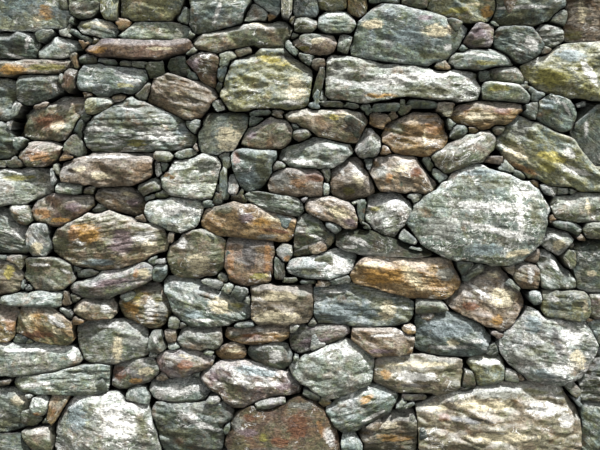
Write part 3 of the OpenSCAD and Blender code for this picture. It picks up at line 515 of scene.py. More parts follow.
def chipsNear(chips, centre, reach):
    return [c["grown"] for c in chips if np.linalg.norm(c["grown"].mean(0) - centre) < reach]


def pinningStones(stones, rng):
    tree, _, normals = feelers([s["grown"] for s in stones])
    made = []
    for x, z, width, height, tilt, rock in pinnings:
        centre = np.array([x, z]) * 0.01
        sides = []
        for k in range(4):
            far = (width, height)[k % 2] * 0.005 * rng.uniform(1.1, 1.4)
            skew = rng.uniform(-0.3, 0.3) * min(1, height / width)
            sides.append((math.radians(tilt) + k * math.pi / 2 + skew, far))
        rim = starOutline(centre, tree, chipsNear(made, centre, 0.15), sides)
        if min(np.ptp(rim, axis=0)) > 4 * mm:
            made.append({"grown": rim, "rock": rock, "proud": -rng.uniform(6, 26) * mm, "chip": True})
    # chips in what is still open, the widest holes first
    spots = []
    for x in np.arange(-0.97, 0.97, fitting["chipSample"]):
        for z in np.arange(0.01, wallTop - 0.01, fitting["chipSample"]):
            at, k, d = tree.find((x, 0, z))
            outside = (x - at[0]) * normals[k][0] + (z - at[2]) * normals[k][1] > 0
            if outside and d > fitting["chipSmallest"]:
                spots.append((d, x, z))
    for d, x, z in sorted(spots, reverse=True):
        centre = np.array([x, z])
        taken = chipsNear(made, centre, 0.12)
        if any(np.linalg.norm(p - centre, axis=1).min() < fitting["chipSmallest"]
               or insideOutline(centre, p) for p in taken):
            continue
        limit = min(fitting["chipLargest"], d * 3.4)
        corners = rng.randint(3, 5)
        turn = rng.random()
        sides = []
        for k in range(corners):
            angle = 2 * math.pi * (turn + k + rng.uniform(-0.25, 0.25)) / corners
            sides.append((angle, limit * rng.uniform(0.5, 0.95)))
        rim = starOutline(centre, tree, taken, sides)
        if min(np.ptp(rim, axis=0)) > 7 * mm:
            rock = rng.choice("gdtbglo")
            made.append({"grown": rim, "rock": rock, "proud": -rng.uniform(12, 40) * mm, "chip": True})
    return made


closeJoints(seenStones)
for stone in seenStones:
    stone["marks"] = [m for m in marks if insideOutline(np.array(m[:2]) * 0.01, stone["grown"])]
chips = pinningStones(seenStones, random.Random(5))
stage(f"joints closed, {len(chips)} pinnings and chips")
# The far face repeats the seen one, stone behind stone, in other rocks
otherRocks = random.Random(23)
for stone in farStones:
    twin = min(seenStones, key=lambda s: np.linalg.norm(s["middle"] - stone["middle"]))
    stone["grown"] = twin["grown"]
    stone["rock"] = otherRocks.choice([twin["rock"], "g", "l", "t", "b", "m"])
    stone["round"] = twin.get("round", False)

# The rocks. Colours are sRGB, sizes in millimetres

def linear(hexColour):
    parts = [int(hexColour[i:i + 2], 16) / 255 for i in (1, 3, 5)]
    return tuple(c / 12.92 if c <= 0.04045 else ((c + 0.055) / 1.055) ** 2.4 for c in parts) + (1.0,)


def addNode(tree, kind, settings):
    # a socket is linked, anything else is set on the input or the node
    node = tree.nodes.new(kind)
    for key, value in settings.items():
        if isinstance(value, bpy.types.NodeSocket):
            tree.links.new(value, node.inputs[key])
        elif isinstance(key, int) or key in node.inputs:
            node.inputs[key].default_value = linear(value) if isinstance(value, str) else value
        else:
            setattr(node, key, value)
    return node


# What a rock gives the eye, with the changes that each rock makes to it below
schistLook = {
    "shade": "#4f503e", "body": "#828475", "light": "#b6b8ad", "patch": 60,      # broad mottling
    # pale bands and dark seams of the layers, drawn out more on banded stones than on plain ones
    "streak": "#dfe0da", "streakAmount": 0.5, "streakThick": 8.0, "plainLong": 16, "bandedLong": 60,
    "grainSize": 4.8, "grainAmount": 0.72,                                       # gritty speckle
    "crack": "#2c2a26", "crackAmount": 0.55,                                     # hair cracks
    "vein": "#f2f1ea", "veinAmount": 0.25, "veinSize": 60,                       # quartz
    "stain": "#7d6243", "stainAmount": 0.25, "stainSize": 60,                    # rust out of the stone
    "lichen": "#757b55", "lichenAmount": 0.3, "lichenSize": 34,
    # brown, green, blue and olive that come and go
    "hints": ("#80684a", "#5f6b46", "#70837f", "#86824f"), "hintAmount": 0.68, "hintSize": 45,
    "paintedHighlight": "#dcdfe1", "paintedHighlightAmount": 0.27,                                   # painted highlight on what faces up
    "markAmount": 0.84, "markRagged": 2.6,                                       # the listed marks
    "bump": 4.2, "steps": 3.5,                                                   # grit and broken layers
}
rocks = {
    "g": ("greenSchist", {}),
    # bleached and dark stones, which make most of the play of light in the wall
    "l": ("paleSchist", {"shade": "#6d6f62", "body": "#9fa196", "light": "#cdcec5", "streak": "#eeeee8"}),
    "d": ("darkSlate", {"shade": "#31322a", "body": "#575950", "light": "#87897f", "streak": "#c3c4bb",
                        "streakAmount": 0.6}),
    "b": ("blueSchist", {"shade": "#4a5251", "body": "#7a8585", "light": "#b0b8b6", "streak": "#e4e9e8",
                         "stainAmount": 0.15}),
    # milky stones shot through with quartz
    "q": ("veinQuartz", {"shade": "#706e69", "body": "#a9a7a1", "light": "#dad9d4", "streak": "#fafaf7",
                         "streakAmount": 0.5, "veinAmount": 0.8, "lichenAmount": 0.2}),
    # warm stones
    "t": ("tanSchist", {"shade": "#5a5143", "body": "#8c8170", "light": "#bcb19c", "streak": "#e0d9c9",
                        "stainAmount": 0.4}),
    "o": ("ochreSchist", {"shade": "#5b462d", "body": "#957a4f", "light": "#c3ad86", "streak": "#e0d2b2",
                          "stain": "#85622f", "stainAmount": 0.4, "veinAmount": 0.3, "lichenAmount": 0.15}),
    "r": ("rustSchist", {"shade": "#3b302a", "body": "#6b594b", "light": "#a19182", "streak": "#cdc0b2",
                         "stain": "#775743", "stainAmount": 0.45, "lichenAmount": 0.12}),
    "p": ("mauveSchist", {"shade": "#4e4848", "body": "#807877", "light": "#b4aca9", "streak": "#dcd6d0",
                          "stain": "#6f544c", "stainAmount": 0.35}),
    # green with moss, and the smooth creamy slab at the ground
    "m": ("mossySchist", {"shade": "#4d4e3b", "body": "#7f806b", "light": "#b2b29b", "streak": "#dadac9",
                          "lichen": "#7f7b47", "lichenAmount": 0.55}),
    "c": ("creamSchist", {"shade": "#5e5747", "body": "#847a67", "light": "#a89e88", "streak": "#efe9d4",
                          "streakAmount": 0.35, "streakThick": 12.0, "patch": 110, "grainAmount": 0.55,
                          "bump": 3.2, "hintAmount": 0.4}),
    # the packing behind the joints, painted near black for the shade in them, and the green boulder laced
    # with white veins
    "h": ("heartingPaintedShade", {"shade": "#211f1b", "body": "#37342d", "light": "#4d4a41", "streak": "#5d5a50",
                             "veinAmount": 0.0, "lichenAmount": 0.0}),
    "v": ("veinedSchist", {"shade": "#565b50", "body": "#888d80", "light": "#b5baad", "streak": "#f0f2ea",
                           "streakAmount": 0.7, "streakThick": 14.0, "veinAmount": 0.7}),
}


def rockMaterial(name, changes):
    look = {**schistLook, **changes}
    material = bpy.data.materials.new(name)
    material.use_nodes = True
    tree = material.node_tree
    tree.nodes.clear()

    def add(kind, settings, output=0):
        return addNode(tree, kind, settings).outputs[output]

    def fact(words, output="Fac"):
        return add("ShaderNodeAttribute", {"attribute_name": words}, output)

    def maths(operation, a, b=0.0):
        return add("ShaderNodeMath", {"operation": operation, 0: a, 1: b})

    def vectors(operation, a, b):
        return add("ShaderNodeVectorMath", {"operation": operation, 0: a, 1: b})

    def times(*factors):
        product = factors[0]
        for factor in factors[1:]:
            product = maths("MULTIPLY", product, factor)
        return product

    def mix(amount, a, b):
        return add("ShaderNodeMix", {"data_type": "RGBA", 0: amount, 6: a, 7: b}, 2)

    def noise(vector, size, detail=3.0, rough=0.55, distort=0.0, output="Fac"):
        return add("ShaderNodeTexNoise", {"Vector": vector, "Scale": 1 / size, "Detail": detail,
                                          "Roughness": rough, "Distortion": distort}, output)

    def mapped(value, low, high, least=0.0, most=1.0):       # least below low, most above high
        return add("ShaderNodeMapRange", {"Value": value, "From Min": low, "From Max": high,
                                          "To Min": least, "To Max": most})

    def spots(vector, size, detail, rough, least, soft):     # 1 where the noise is past least
        return mapped(noise(vector, size, detail, rough), least, least + soft)

    def offMiddle(value, middle=0.5):
        return maths("ABSOLUTE", maths("SUBTRACT", value, middle))

    grain, banded, faced = fact("grain", "Vector"), fact("banded"), fact("weather")
    wander = noise(grain, 45, 2.0, 0.5, output="Color")
    pushed = add("ShaderNodeVectorMath", {"operation": "SCALE", 0: wander, "Scale": 16.0})
    warped = vectors("ADD", grain, pushed)
    thick = look["streakThick"]
    drawnOut = mapped(banded, 0, 1, thick / look["plainLong"], thick / look["bandedLong"])
    drawnOut = add("ShaderNodeCombineXYZ", {"X": drawnOut, "Y": drawnOut, "Z": 1.0})
    layered = vectors("MULTIPLY", warped, drawnOut)

    ramp = addNode(tree, "ShaderNodeValToRGB", {"Fac": noise(warped, look["patch"], 6.0, 0.6, 0.4)})
    ramp.color_ramp.elements.new(0.5)
    for element, place, part in zip(ramp.color_ramp.elements, (0.3, 0.5, 0.7), ("shade", "body", "light")):
        element.position = place
        element.color = linear(look[part])
    colour = ramp.outputs["Color"]
    leaning = fact("leaning")
    for k, hint in enumerate(look["hints"]):
        share = times(mapped(offMiddle(leaning, k + 0.5), 1.7, 0.5), look["hintAmount"])
        moved = vectors("ADD", warped, (300.0 * k, 170.0, 90.0 * k))
        colour = mix(times(spots(moved, look["hintSize"], 7.0, 0.68, 0.42, 0.14), share), colour, hint)
    layers = noise(layered, thick, 5.0, 0.68, 0.3)
    somewhere = spots(grain, 70.0, 2.0, 0.55, 0.4, 0.18)
    strength = mapped(banded, 0, 1, 0.35, 1.5)
    streaked = times(strength, look["streakAmount"])
    colour = mix(times(mapped(layers, 0.53, 0.6), somewhere, streaked), colour, look["streak"])
    colour = mix(times(mapped(layers, 0.47, 0.39), streaked, 0.6), colour, look["shade"])
    # quartz runs in thin wandering lines where a noise crosses its middle, and sits in small blebs
    size, amount = look["veinSize"], look["veinAmount"]
    lines = mapped(offMiddle(noise(layered, size * 0.4, 3.0, 0.6, 0.6)), 0.028, 0.006)
    veins = times(lines, spots(grain, size * 1.5, 3.0, 0.55, 0.60 - 0.16 * amount, 0.06))
    blebs = spots(layered, size * 0.3, 4.0, 0.7, 0.70 - 0.12 * amount, 0.04)
    colour = mix(times(maths("MAXIMUM", veins, blebs), 0.85), colour, look["vein"])
    # hair cracks along the layers
    hair = mapped(offMiddle(noise(layered, 17.0, 4.0, 0.65, 0.4)), 0.016, 0.004)
    cracks = times(hair, spots(grain, 50.0, 2.0, 0.55, 0.42, 0.18), look["crackAmount"])
    colour = mix(cracks, colour, look["crack"])
    stains = spots(warped, look["stainSize"], 6.0, 0.65, 0.64 - 0.25 * look["stainAmount"], 0.1)
    colour = mix(times(stains, 0.7), colour, look["stain"])
    lichens = spots(grain, look["lichenSize"], 6.0, 0.7, 0.64 - 0.25 * look["lichenAmount"], 0.08)
    colour = mix(times(lichens, 0.6), colour, look["lichen"])
    # the listed marks, ragged along the layers
    coat = addNode(tree, "ShaderNodeAttribute", {"attribute_name": "coat"}).outputs
    ragged = times(maths("SUBTRACT", noise(layered, 13.0, 6.0, 0.75), 0.5), look["markRagged"])
    coated = times(mapped(maths("ADD", coat["Alpha"], ragged), 0.42, 0.75), look["markAmount"])
    colour = mix(times(coated, mapped(coat["Alpha"], 0.0, 0.15)), colour, coat["Color"])
    # painted highlight: what faces up is mixed toward a pale colour
    colour = mix(times(mapped(faced, 0.12, 0.7), look["paintedHighlightAmount"]), colour, look["paintedHighlight"])

    fine = add("ShaderNodeMapping", {"Vector": warped, "Scale": (0.5, 0.5, 1.0)})
    grit = noise(fine, look["grainSize"], 3.0, 0.75)
    value = mapped(fact("tone"), -1.6, 1.6, 0.5, 1.25)
    speckle = mapped(grit, 0.3, 0.7, 1 - look["grainAmount"], 1 + look["grainAmount"])
    pits = mapped(noise(warped, 9.0, 3.0, 0.6), 0.34, 0.42, 0.5, 1.0)
    # dirt and painted shade: darker deeper in the joints behind the rim, and a little darker at the rim
    jointDirtAndShade = mapped(fact("edge"), -1.0, 0.1, 0.3, 1.0)
    # painted highlight brightens what faces up, and painted shade darkens what faces down
    paintedTopLight = mapped(faced, 0.12, 0.7, 0.95, 1.2)
    paintedUnderShade = mapped(faced, -0.6, 0.05, 0.5, 1.0)
    value = times(value, speckle, jointDirtAndShade, pits, paintedTopLight, paintedUnderShade)
    colour = add("ShaderNodeHueSaturation", {"Color": colour, "Value": value})

    stepped = times(maths("SNAP", noise(layered, 16.0, 3.0, 0.6), 0.09), strength)
    height = times(layers, look["bump"] * 0.8)
    for relief, amount in ((grit, 1.0), (noise(grain, 13.0, 5.0, 0.7), 2.2), (stepped, look["steps"])):
        height = maths("ADD", height, times(relief, look["bump"] * amount))
    bump = add("ShaderNodeBump", {"Strength": 1.0, "Distance": mm, "Height": height})
    shader = add("ShaderNodeBsdfPrincipled", {"Roughness": 0.86, "Specular IOR Level": 0.35,
                                              "Base Color": colour, "Normal": bump})
    addNode(tree, "ShaderNodeOutputMaterial", {"Surface": shader})
    return material


rockMaterials = {letter: rockMaterial(name, changes) for letter, (name, changes) in rocks.items()}
stage(f"{len(rockMaterials)} rocks")

# How a stone is shaped. Lengths in metres
seenShape = {
    "along": 5.5 * mm, "across": 4.2 * mm,   # mesh steps along and across the layers
    "rimStep": 6 * mm,                       # spacing of the points of the outline
    "rim": (0.5 * mm, 6 * mm),               # radius of the worn rim, least and most
    "tilt": 0.26, "tiltDepth": 14 * mm,      # how far the whole face may lean
    "planes": (5, 8),                        # planes that the face is broken to
    "planeSlope": (0.15, 0.95),
    "planeStart": (-0.05, 0.85),             # where they start, as a share of the way to the rim
    "planeDepth": 0.42,                      # how deep they end, as a share of that way
    "breaks": ((95, 60, 24.0), (40, 24, 13.0), (17, 10, 6.5)),   # length, height and depth of facets in mm
    "top": (6 * mm, 26 * mm), "topSlope": (0.5, 1.8),       # width and slope of the broken upper edge
    "under": (2 * mm, 8 * mm), "underSlope": (0.4, 1.1),    # and of the lower edge
    "ledge": (1.0 * mm, 7.0 * mm),           # how far one layer breaks behind the next
    "layer": (6 * mm, 20 * mm),              # thickness of the layers
    "rough": (3 * mm, 1.2 * mm),             # how far the outline wanders in and out
    "rings": (10 * mm, 36 * mm),             # depths of the rings behind the rim
    "sunk": 22 * mm,                         # how far a small stone may sit back
}
farShape = {**seenShape, "along": 15 * mm, "across": 10 * mm, "rimStep": 8 * mm}
chipShape = {**seenShape, "along": 7 * mm, "across": 6 * mm, "rimStep": 5 * mm, "rim": (0.5 * mm, 2 * mm),
             "tilt": 0.4, "planes": (2, 4), "planeSlope": (0.3, 1.0), "planeStart": (0.1, 0.8),
             "planeDepth": 0.2, "breaks": ((30, 18, 7.0),), "top": (1 * mm, 5 * mm),
             "under": (1 * mm, 3 * mm), "rough": (1.5 * mm, 0.5 * mm), "rings": (12 * mm,),
             "ledge": (0.3 * mm, 1.4 * mm), "sunk": 0.0}
farChipShape = {**chipShape, "along": 18 * mm, "across": 13 * mm, "rimStep": 9 * mm}
crown = 26 * mm          # how far the middle of a round boulder swells
nearRim = 25 * mm        # the darkening of the joints, dirt and painted shade, reaches this far over a face

# For each rock: 1 where its faces look up a little and -1 down, where it lies between the four hints of
# colour, and how clearly its layers show at most
habits = {
    "g": (0, 1.6, 1), "l": (1, 1.9, 1), "d": (-1, 1.8, 1), "b": (0, 2.2, 1), "q": (1, 2.1, 0.4),
    "t": (0, 0.4, 0.8), "o": (0, 0.4, 1), "r": (0, 0.4, 0.5), "p": (0, 0.6, 1), "m": (0, 3.4, 1),
    "c": (0, 0.5, 0.6), "v": (0, 1.2, 0.6),
}


def grainAngle(outline, rng):            # the layers lie along the longer side of a stone
    spread = spaced(outline, 8 * mm)
    spread = spread - spread.mean(0)
    values, vectors = np.linalg.eigh(spread.T @ spread)
    axis = vectors[:, 1]
    angle = math.atan2(axis[1], axis[0])
    angle = (angle + math.pi / 2) % math.pi - math.pi / 2
    longer = 1 - math.sqrt(values[0] / values[1])
    return angle * min(1.0, 2.2 * longer) + math.radians(rng.uniform(-7, 7))


def carvedFace(uw, rimPoints, upward, shape, rng, isRound, bearing, layering):
    # how far each point lies behind the foremost one, how near the rim it is, and the tone of its facet
    seed = rng.uniform(0, 500)
    u, w = uw[:, 0], uw[:, 1]
    distances = edgeDistances(uw, rimPoints, np.roll(rimPoints, -1, 0))
    near = distances.min(1)
    centre = (rimPoints.min(0) + rimPoints.max(0)) / 2
    size = np.ptp(rimPoints, axis=0)
    scale = min(1.0, size.min() / 0.12)
    radius = between(shape["rim"], fractal(u / 0.05 + seed, w / 0.05, seed, 2) ** 1.5)
    radius = radius * (0.5 + 0.5 * scale)
    drop = 1 - np.clip(near / radius, 0, 1)
    deep = radius * (1 - np.sqrt(np.clip(1 - drop ** 2, 0, 1)))
    # pale stones lean back to the light and dark ones away from it
    leanWay = math.atan2(upward[1], upward[0]) + rng.uniform(-1, 1) * (1.1 if bearing else math.pi)
    lean = min(shape["tilt"] * rng.uniform(0.5 if bearing else 0.0, 1.0), 2 * shape["tiltDepth"] / size.max())
    deep = deep + (uw - centre) @ (wayOf(leanWay) * (-lean if bearing < 0 else lean))
    # the upper edge is broken back to a lit slope, the lower one is undercut a little
    ways = normalsOf(rimPoints) @ upward
    for facing, width, slope in ((ways, shape["top"], shape["topSlope"]),
                                 (-ways, shape["under"], shape["underSlope"])):
        if (facing > 0.35).any():
            ragged = brokenNoise(u / 0.05, w / 0.05, seed + 40 + width[0])[0]
            wide = np.minimum(rng.uniform(*width) * (0.35 + 1.3 * ragged), size.min() * 0.3)
            within = np.clip(wide - distances[:, facing > 0.35].min(1), 0, None)
            deep = deep + rng.uniform(*slope) * within
    # planes broken off all round the face
    facets = np.zeros(len(uw))
    planes = rng.randint(*shape["planes"])
    first = rng.random()
    for k in range(planes):
        way = wayOf(2 * math.pi * (first + k + rng.uniform(-0.4, 0.4)) / planes)
        reach = ((rimPoints - centre) @ way).max()
        begin = reach * rng.uniform(*shape["planeStart"])
        depth = min(shape["planeDepth"] * reach, 10 * mm + 0.12 * reach)
        steep = min(rng.uniform(*shape["planeSlope"]), depth / (reach - begin))
        facets = np.maximum(facets, steep * np.clip((uw - centre) @ way - begin, 0, None))
    if isRound:
        half = size.max() / 2
        ball = (half * half + crown * crown) / (2 * crown)
        out = np.minimum(np.linalg.norm(uw - centre, axis=1), half)
        facets = facets * 0.6 + ball - np.sqrt(ball * ball - out * out)
    deep = deep + facets
    rugged = rng.uniform(0.6, 1.25) * (0.75 if isRound else 1)
    tone = 0
    for k, (longest, highest, deepest) in enumerate(shape["breaks"]):
        length = longest * mm * rng.uniform(0.8, 1.3)
        height = highest * mm * rng.uniform(0.8, 1.3)
        if k == 0:                           # the largest facets follow the size of the stone
            length, height = max(length, 0.45 * size.max()), max(height, 0.5 * size.min())
        behind, fresh = brokenNoise(u / length + seed, w / height, seed + 20 * k)
        deep = deep + behind * deepest * mm * scale * rugged
        tone = tone + (fresh - 0.5) * (1.3, 0.6, 0.3)[k]
    # the layers, each broken back in runs, plain on some stones and hardly there on others
    thick = rng.uniform(*shape["layer"])
    bend = (fractal(u / 0.09, w / 0.05, seed + 3, 3) - 0.5) * 16 * mm
    level = (w + bend) / thick
    index = np.floor(level)
    run = np.floor(u / rng.uniform(0.04, 0.10) + lattice(index, 0 * index, seed) * 7)
    ledge = between(shape["ledge"], rng.random() ** 1.6) * layering
    deep = deep + (lattice(index, run, seed + 5) + 0.5 * (level - index) ** 2) * ledge
    return deep, near, tone


def faceGrid(points, along, across, rings):
    bm = bmesh.new()
    bm.faces.new([bm.verts.new((u, 0, w)) for u, w in points])
    low, high = points.min(0), points.max(0)
    for axis, step, normal in ((1, across, (0, 0, 1)), (0, along, (1, 0, 0))):
        at = (math.floor(low[axis] / step) + 0.5) * step
        while at < high[axis]:
            if at > low[axis]:
                bmesh.ops.bisect_plane(bm, geom=bm.verts[:] + bm.edges[:] + bm.faces[:], dist=0.4 * mm,
                                       plane_co=(at, 0, at), plane_no=normal)
            at += step
    ring = bm.verts.layers.int.new("ring")
    border = [e for e in bm.edges if e.is_boundary]
    for k in range(1, rings + 1):
        made = bmesh.ops.extrude_edge_only(bm, edges=border)["geom"]
        for item in made:
            if isinstance(item, bmesh.types.BMVert):
                item[ring] = k
                item.co.y = 10 * mm * k
        border = [e for e in made if isinstance(e, bmesh.types.BMEdge) and e.is_boundary]
    bmesh.ops.edgeloop_fill(bm, edges=border)
    bmesh.ops.recalc_face_normals(bm, faces=bm.faces)
    return bm


def meshFrom(bm, name):
    mesh = bpy.data.meshes.new(name)
    bm.to_mesh(mesh)
    bm.free()
    co = np.zeros(len(mesh.vertices) * 3)
    mesh.vertices.foreach_get("co", co)
    return mesh, co.reshape(-1, 3)


def placed(name, data):
    thing = bpy.data.objects.new(name, data)
    bpy.context.scene.collection.objects.link(thing)
    return thing


def finished(mesh, points, material, facts, flipped=False):
    # moves the points, and writes what the material reads at each of them
    mesh.vertices.foreach_set("co", points.ravel())
    if flipped:
        mesh.flip_normals()
    mesh.update()
    normals = np.zeros(points.size)
    mesh.vertices.foreach_get("normal", normals)
    facts["weather"] = normals[2::3]         # painted highlight lightens what faces up, painted shade darkens what faces down
    kinds = {1: ("FLOAT", "value"), 3: ("FLOAT_VECTOR", "vector"), 4: ("FLOAT_COLOR", "color")}
    for name, values in facts.items():
        if np.ndim(values) == 0:
            values = np.full(len(points), values)
        kind, key = kinds[values.size // len(points)]
        data = mesh.attributes.new(name, kind, "POINT").data
        data.foreach_set(key, values.astype(np.float32).ravel())
    mesh.materials.append(material)
    return placed(mesh.name, mesh)


def coatOf(stone, xz):                       # the colour of the marks over a stone, and how far they cover it
    coat = np.zeros((len(xz), 4), dtype=np.float32)
    for x, z, width, height, tilt, tint in stone.get("marks", []):
        away = turned(xz - np.array([x, z]) * 0.01, -math.radians(tilt)) / (np.array([width, height]) * 0.005)
        cover = np.clip(1 - 0.45 * np.sum(away ** 2, 1), 0, 1)[:, None]
        coat[:, :3] = coat[:, :3] * (1 - cover) + np.array(linear(tints[tint])[:3]) * cover
        coat[:, 3:] = np.maximum(coat[:, 3:], cover)
    coat[:, :3] /= np.maximum(coat[:, 3:], 1e-3)
    return coat


def carveStone(stone, side, shape, rng):
    outline = spaced(cornersCut(stone["grown"], 0.1), shape["rimStep"])
    seed = rng.uniform(0, 300)
    inwards, outwards = shape["rough"]
    wander = 0
    for size, more, weight in ((0.045, 0, 0.65), (0.016, 4, 0.35)):
        wander = wander + brokenNoise(outline[:, 0] / size, outline[:, 1] / size, seed + more)[0] * weight
    wander = outwards - (inwards + outwards) * np.clip(wander * 1.5 - 0.25, 0, 1)
    outline = outline + normalsOf(outline) * wander[:, None]
    outline[:, 1] = np.clip(outline[:, 1], 0, wallTop)
    centre = (outline.min(0) + outline.max(0)) / 2
    angle = grainAngle(outline, rng)
    rimPoints = turned(outline - centre, -angle)
    ringDepths = [0.0, *shape["rings"], 0.0]
    tail = len(ringDepths) - 1               # the ring that stands on the core
    mesh, co = meshFrom(faceGrid(rimPoints, shape["along"], shape["across"], tail), "stone")
    ring = np.zeros(len(co), dtype=np.int32)
    mesh.attributes["ring"].data.foreach_get("value", ring)
    mesh.attributes.remove(mesh.attributes["ring"])
    uw = co[:, [0, 2]]
    upward = np.array([math.sin(angle), math.cos(angle)])
    bearing, leaning, clearest = habits[stone["rock"]]
    banded = rng.random() ** 2.2 * clearest
    banded = stone.get("layers") or banded
    deep, near, facetTone = carvedFace(uw, rimPoints, upward, shape, rng, stone.get("round", False),
                                       bearing, 0.3 + 1.1 * banded)
    xz = turned(uw, angle) + centre
    # rings behind the rim narrow towards the tail
    inward = centre - xz
    inward /= np.maximum(np.linalg.norm(inward, axis=1, keepdims=True), 1e-6)
    narrow = np.array([1.5 * mm * k for k in range(tail)] + [6 * mm])[ring]
    narrow = narrow * (0.4 + 1.2 * softNoise(xz[:, 0] / 0.02, xz[:, 1] / 0.02, seed))
    free = (xz[:, 1] > 2 * mm) & (xz[:, 1] < wallTop - 2 * mm)
    xz = xz + inward * (narrow * free)[:, None]
    depth = deep - deep.min() + 0.3 * mm + np.array(ringDepths)[ring]
    sunk = shape["sunk"] * rng.random() * min(1.0, 0.16 / max(np.ptp(outline, axis=0)))
    out = faceAt(xz[:, 1]) + stone["proud"] - depth - sunk
    out = np.where(ring == tail, coreAt(xz[:, 1]), np.maximum(out, coreAt(xz[:, 1]) + 2 * mm))
    shift = [rng.uniform(-4000, 4000) for _ in range(3)]
    drawnTone = rng.uniform(-1, 0.4 if stone.get("chip") else 1)
    facts = {
        "coat": coatOf(stone, xz),
        "grain": np.stack([uw[:, 0], depth, uw[:, 1]], 1) * 1000 + shift,
        "leaning": leaning + (shift[0] / 31 % 1 - 0.5) * 1.6,
        "tone": stone.get("tone", drawnTone) + facetTone,
        "banded": banded,
        # dirt and painted shade: the rings behind the rim darken with depth, the rim itself a little
        "edge": np.where(ring > 0, -0.5 * ring, np.clip(near / nearRim, 0, 1)),
    }
    points = np.stack([xz[:, 0], side * out, xz[:, 1]], 1)
    return finished(mesh, points, rockMaterials[stone["rock"]], facts, side == back)


def joined(things, name, crease=13):
    with bpy.context.temp_override(active_object=things[0], object=things[0],
                                   selected_editable_objects=things, selected_objects=things):
        if len(things) > 1:
            bpy.ops.object.join()
    piece = things[0]
    piece.name = piece.data.name = name
    piece.data.shade_smooth()
    piece.data.set_sharp_from_angle(angle=math.radians(crease))
    return piece


def camel(node):
    first, *rest = node.split("_")
    return first + "".join(word.capitalize() for word in rest)


def settle(piece, node):
    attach(piece, "root")
    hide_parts(node)


def buildFace(stones, side, shape, smallShape, seed):
    rng = random.Random(seed)
    for node in dict.fromkeys(stone["node"] for stone in stones):
        things = [carveStone(s, side, shape, rng) for s in stones if s["node"] == node]
        settle(joined(things, camel(node)), node)
    chipPiece = joined([carveStone(c, side, smallShape, rng) for c in chips],
                       "seenPinnings" if side == front else "farPinnings")
    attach(chipPiece, "root")


# Bonded heads, cope and hearting: blocks of split stone

def blockGrid(half, step):
    bm = bmesh.new()
    for axis in range(3):
        one, two = (axis + 1) % 3, (axis + 2) % 3
        for sign in (-1, 1):
            counts = [max(2, round(2 * half[k] / step)) for k in (one, two)]
            made = bmesh.ops.create_grid(bm, x_segments=counts[0], y_segments=counts[1], size=1)["verts"]
            for vert in made:
                x, y = vert.co.x, vert.co.y
                vert.co[one], vert.co[two], vert.co[axis] = x * half[one], y * half[two], sign * half[axis]
    bmesh.ops.remove_doubles(bm, verts=bm.verts, dist=1e-5)
    bmesh.ops.recalc_face_normals(bm, faces=bm.faces)
    return bm


def carveBlock(points, look, material, rng):
    low, high = points.min(0), points.max(0)
    low[2] -= 2 * mm if low[2] > mm else 0.0         # beds close up, but not on the floor
    high[2] += look["bedGrow"]
    half, centre = (high - low) / 2, (high + low) / 2
    mesh, co = meshFrom(blockGrid(half, look["step"]), "block")
    seed = rng.uniform(0, 500)
    around = (co[:, 0] + co[:, 1]) / 0.06
    radius = between(look["rim"], fractal(around + seed, co[:, 2] / 0.06, seed, 2)[:, None])
    inner = np.clip(co, -(half - radius), half - radius)
    normal = (co - inner) / np.linalg.norm(co - inner, axis=1, keepdims=True)
    worn = inner + normal * radius
    skin = np.clip((np.abs(worn) / half - 0.4) / 0.6, 0, 1)      # 1 on the skin, 0 in the middle
    bend = (fractal(around * 0.5, co[:, 2] / 0.05, seed + 3, 2) - 0.5) * 14 * mm
    level = (co[:, 2] + bend) / look["layer"]
    index = np.floor(level)
    run = np.floor(around * 0.6 + lattice(index, 0 * index, seed) * 7)
    ledges = (lattice(index, run, seed + 5) + 0.5 * (level - index) ** 2) * look["ledge"]
    # each side is broken back behind its foremost point, which stays on the CAD surface
    for axis in range(3):
        sign = np.sign(worn[:, axis])
        own = seed + 50 * axis + 20 * (sign > 0)
        across = co[:, 1] if axis == 0 else co[:, 0]
        upward = co[:, 1] if axis == 2 else co[:, 2]
        depth = np.zeros(len(co)) if axis == 2 else ledges
        for k, (length, height, deep) in enumerate(look["breaks"]):
            if axis == 2:
                height, deep = length, deep * look["bedShare"]
            broken = brokenNoise(across / (length * mm) + own, upward / (height * mm), own + 3 * k)[0]
            depth = depth + broken * deep * mm
        if axis == 2:                        # the upper bed splits in broad steps
            steps = np.floor(fractal(co[:, 0] / 0.16 + seed, co[:, 1] / 0.13, seed + 8) * 7) / 7
            depth = depth + np.where(sign > 0, steps * look["terraces"], 0)
        for way in (-1, 1):
            depth = np.where(sign == way, depth - depth[(sign == way) & (skin[:, axis] > 0.9)].min(), depth)
        worn[:, axis] -= sign * depth * skin[:, axis]
    # the batter narrows a block towards its top
    foot = points[points[:, 2] < points[:, 2].min() + mm, 1]
    top = points[points[:, 2] > points[:, 2].max() - mm, 1]
    rise = (worn[:, 2] + half[2]) / (2 * half[2])
    over = (worn[:, 1] + half[1]) / (2 * half[1])
    lowY, highY = between((foot.min(), top.min()), rise), between((foot.max(), top.max()), rise)
    shift = [rng.uniform(-4000, 4000) for _ in range(3)]
    facts = {
        "coat": np.zeros((len(co), 4)),
        "grain": co * 1000 + shift,
        "leaning": shift[0] / 31 % 4,
        "tone": rng.uniform(-1, 1),
        "banded": rng.random() ** 1.5,
        # dirt and painted shade: a little darker near the edges of the block
        "edge": np.clip(np.sort(half - np.abs(co), axis=1)[:, 1] / nearRim, 0, 1),
    }
    points = np.stack([worn[:, 0] + centre[0], between((lowY, highY), over), worn[:, 2] + centre[2]], 1)
    return finished(mesh, points, material, facts)


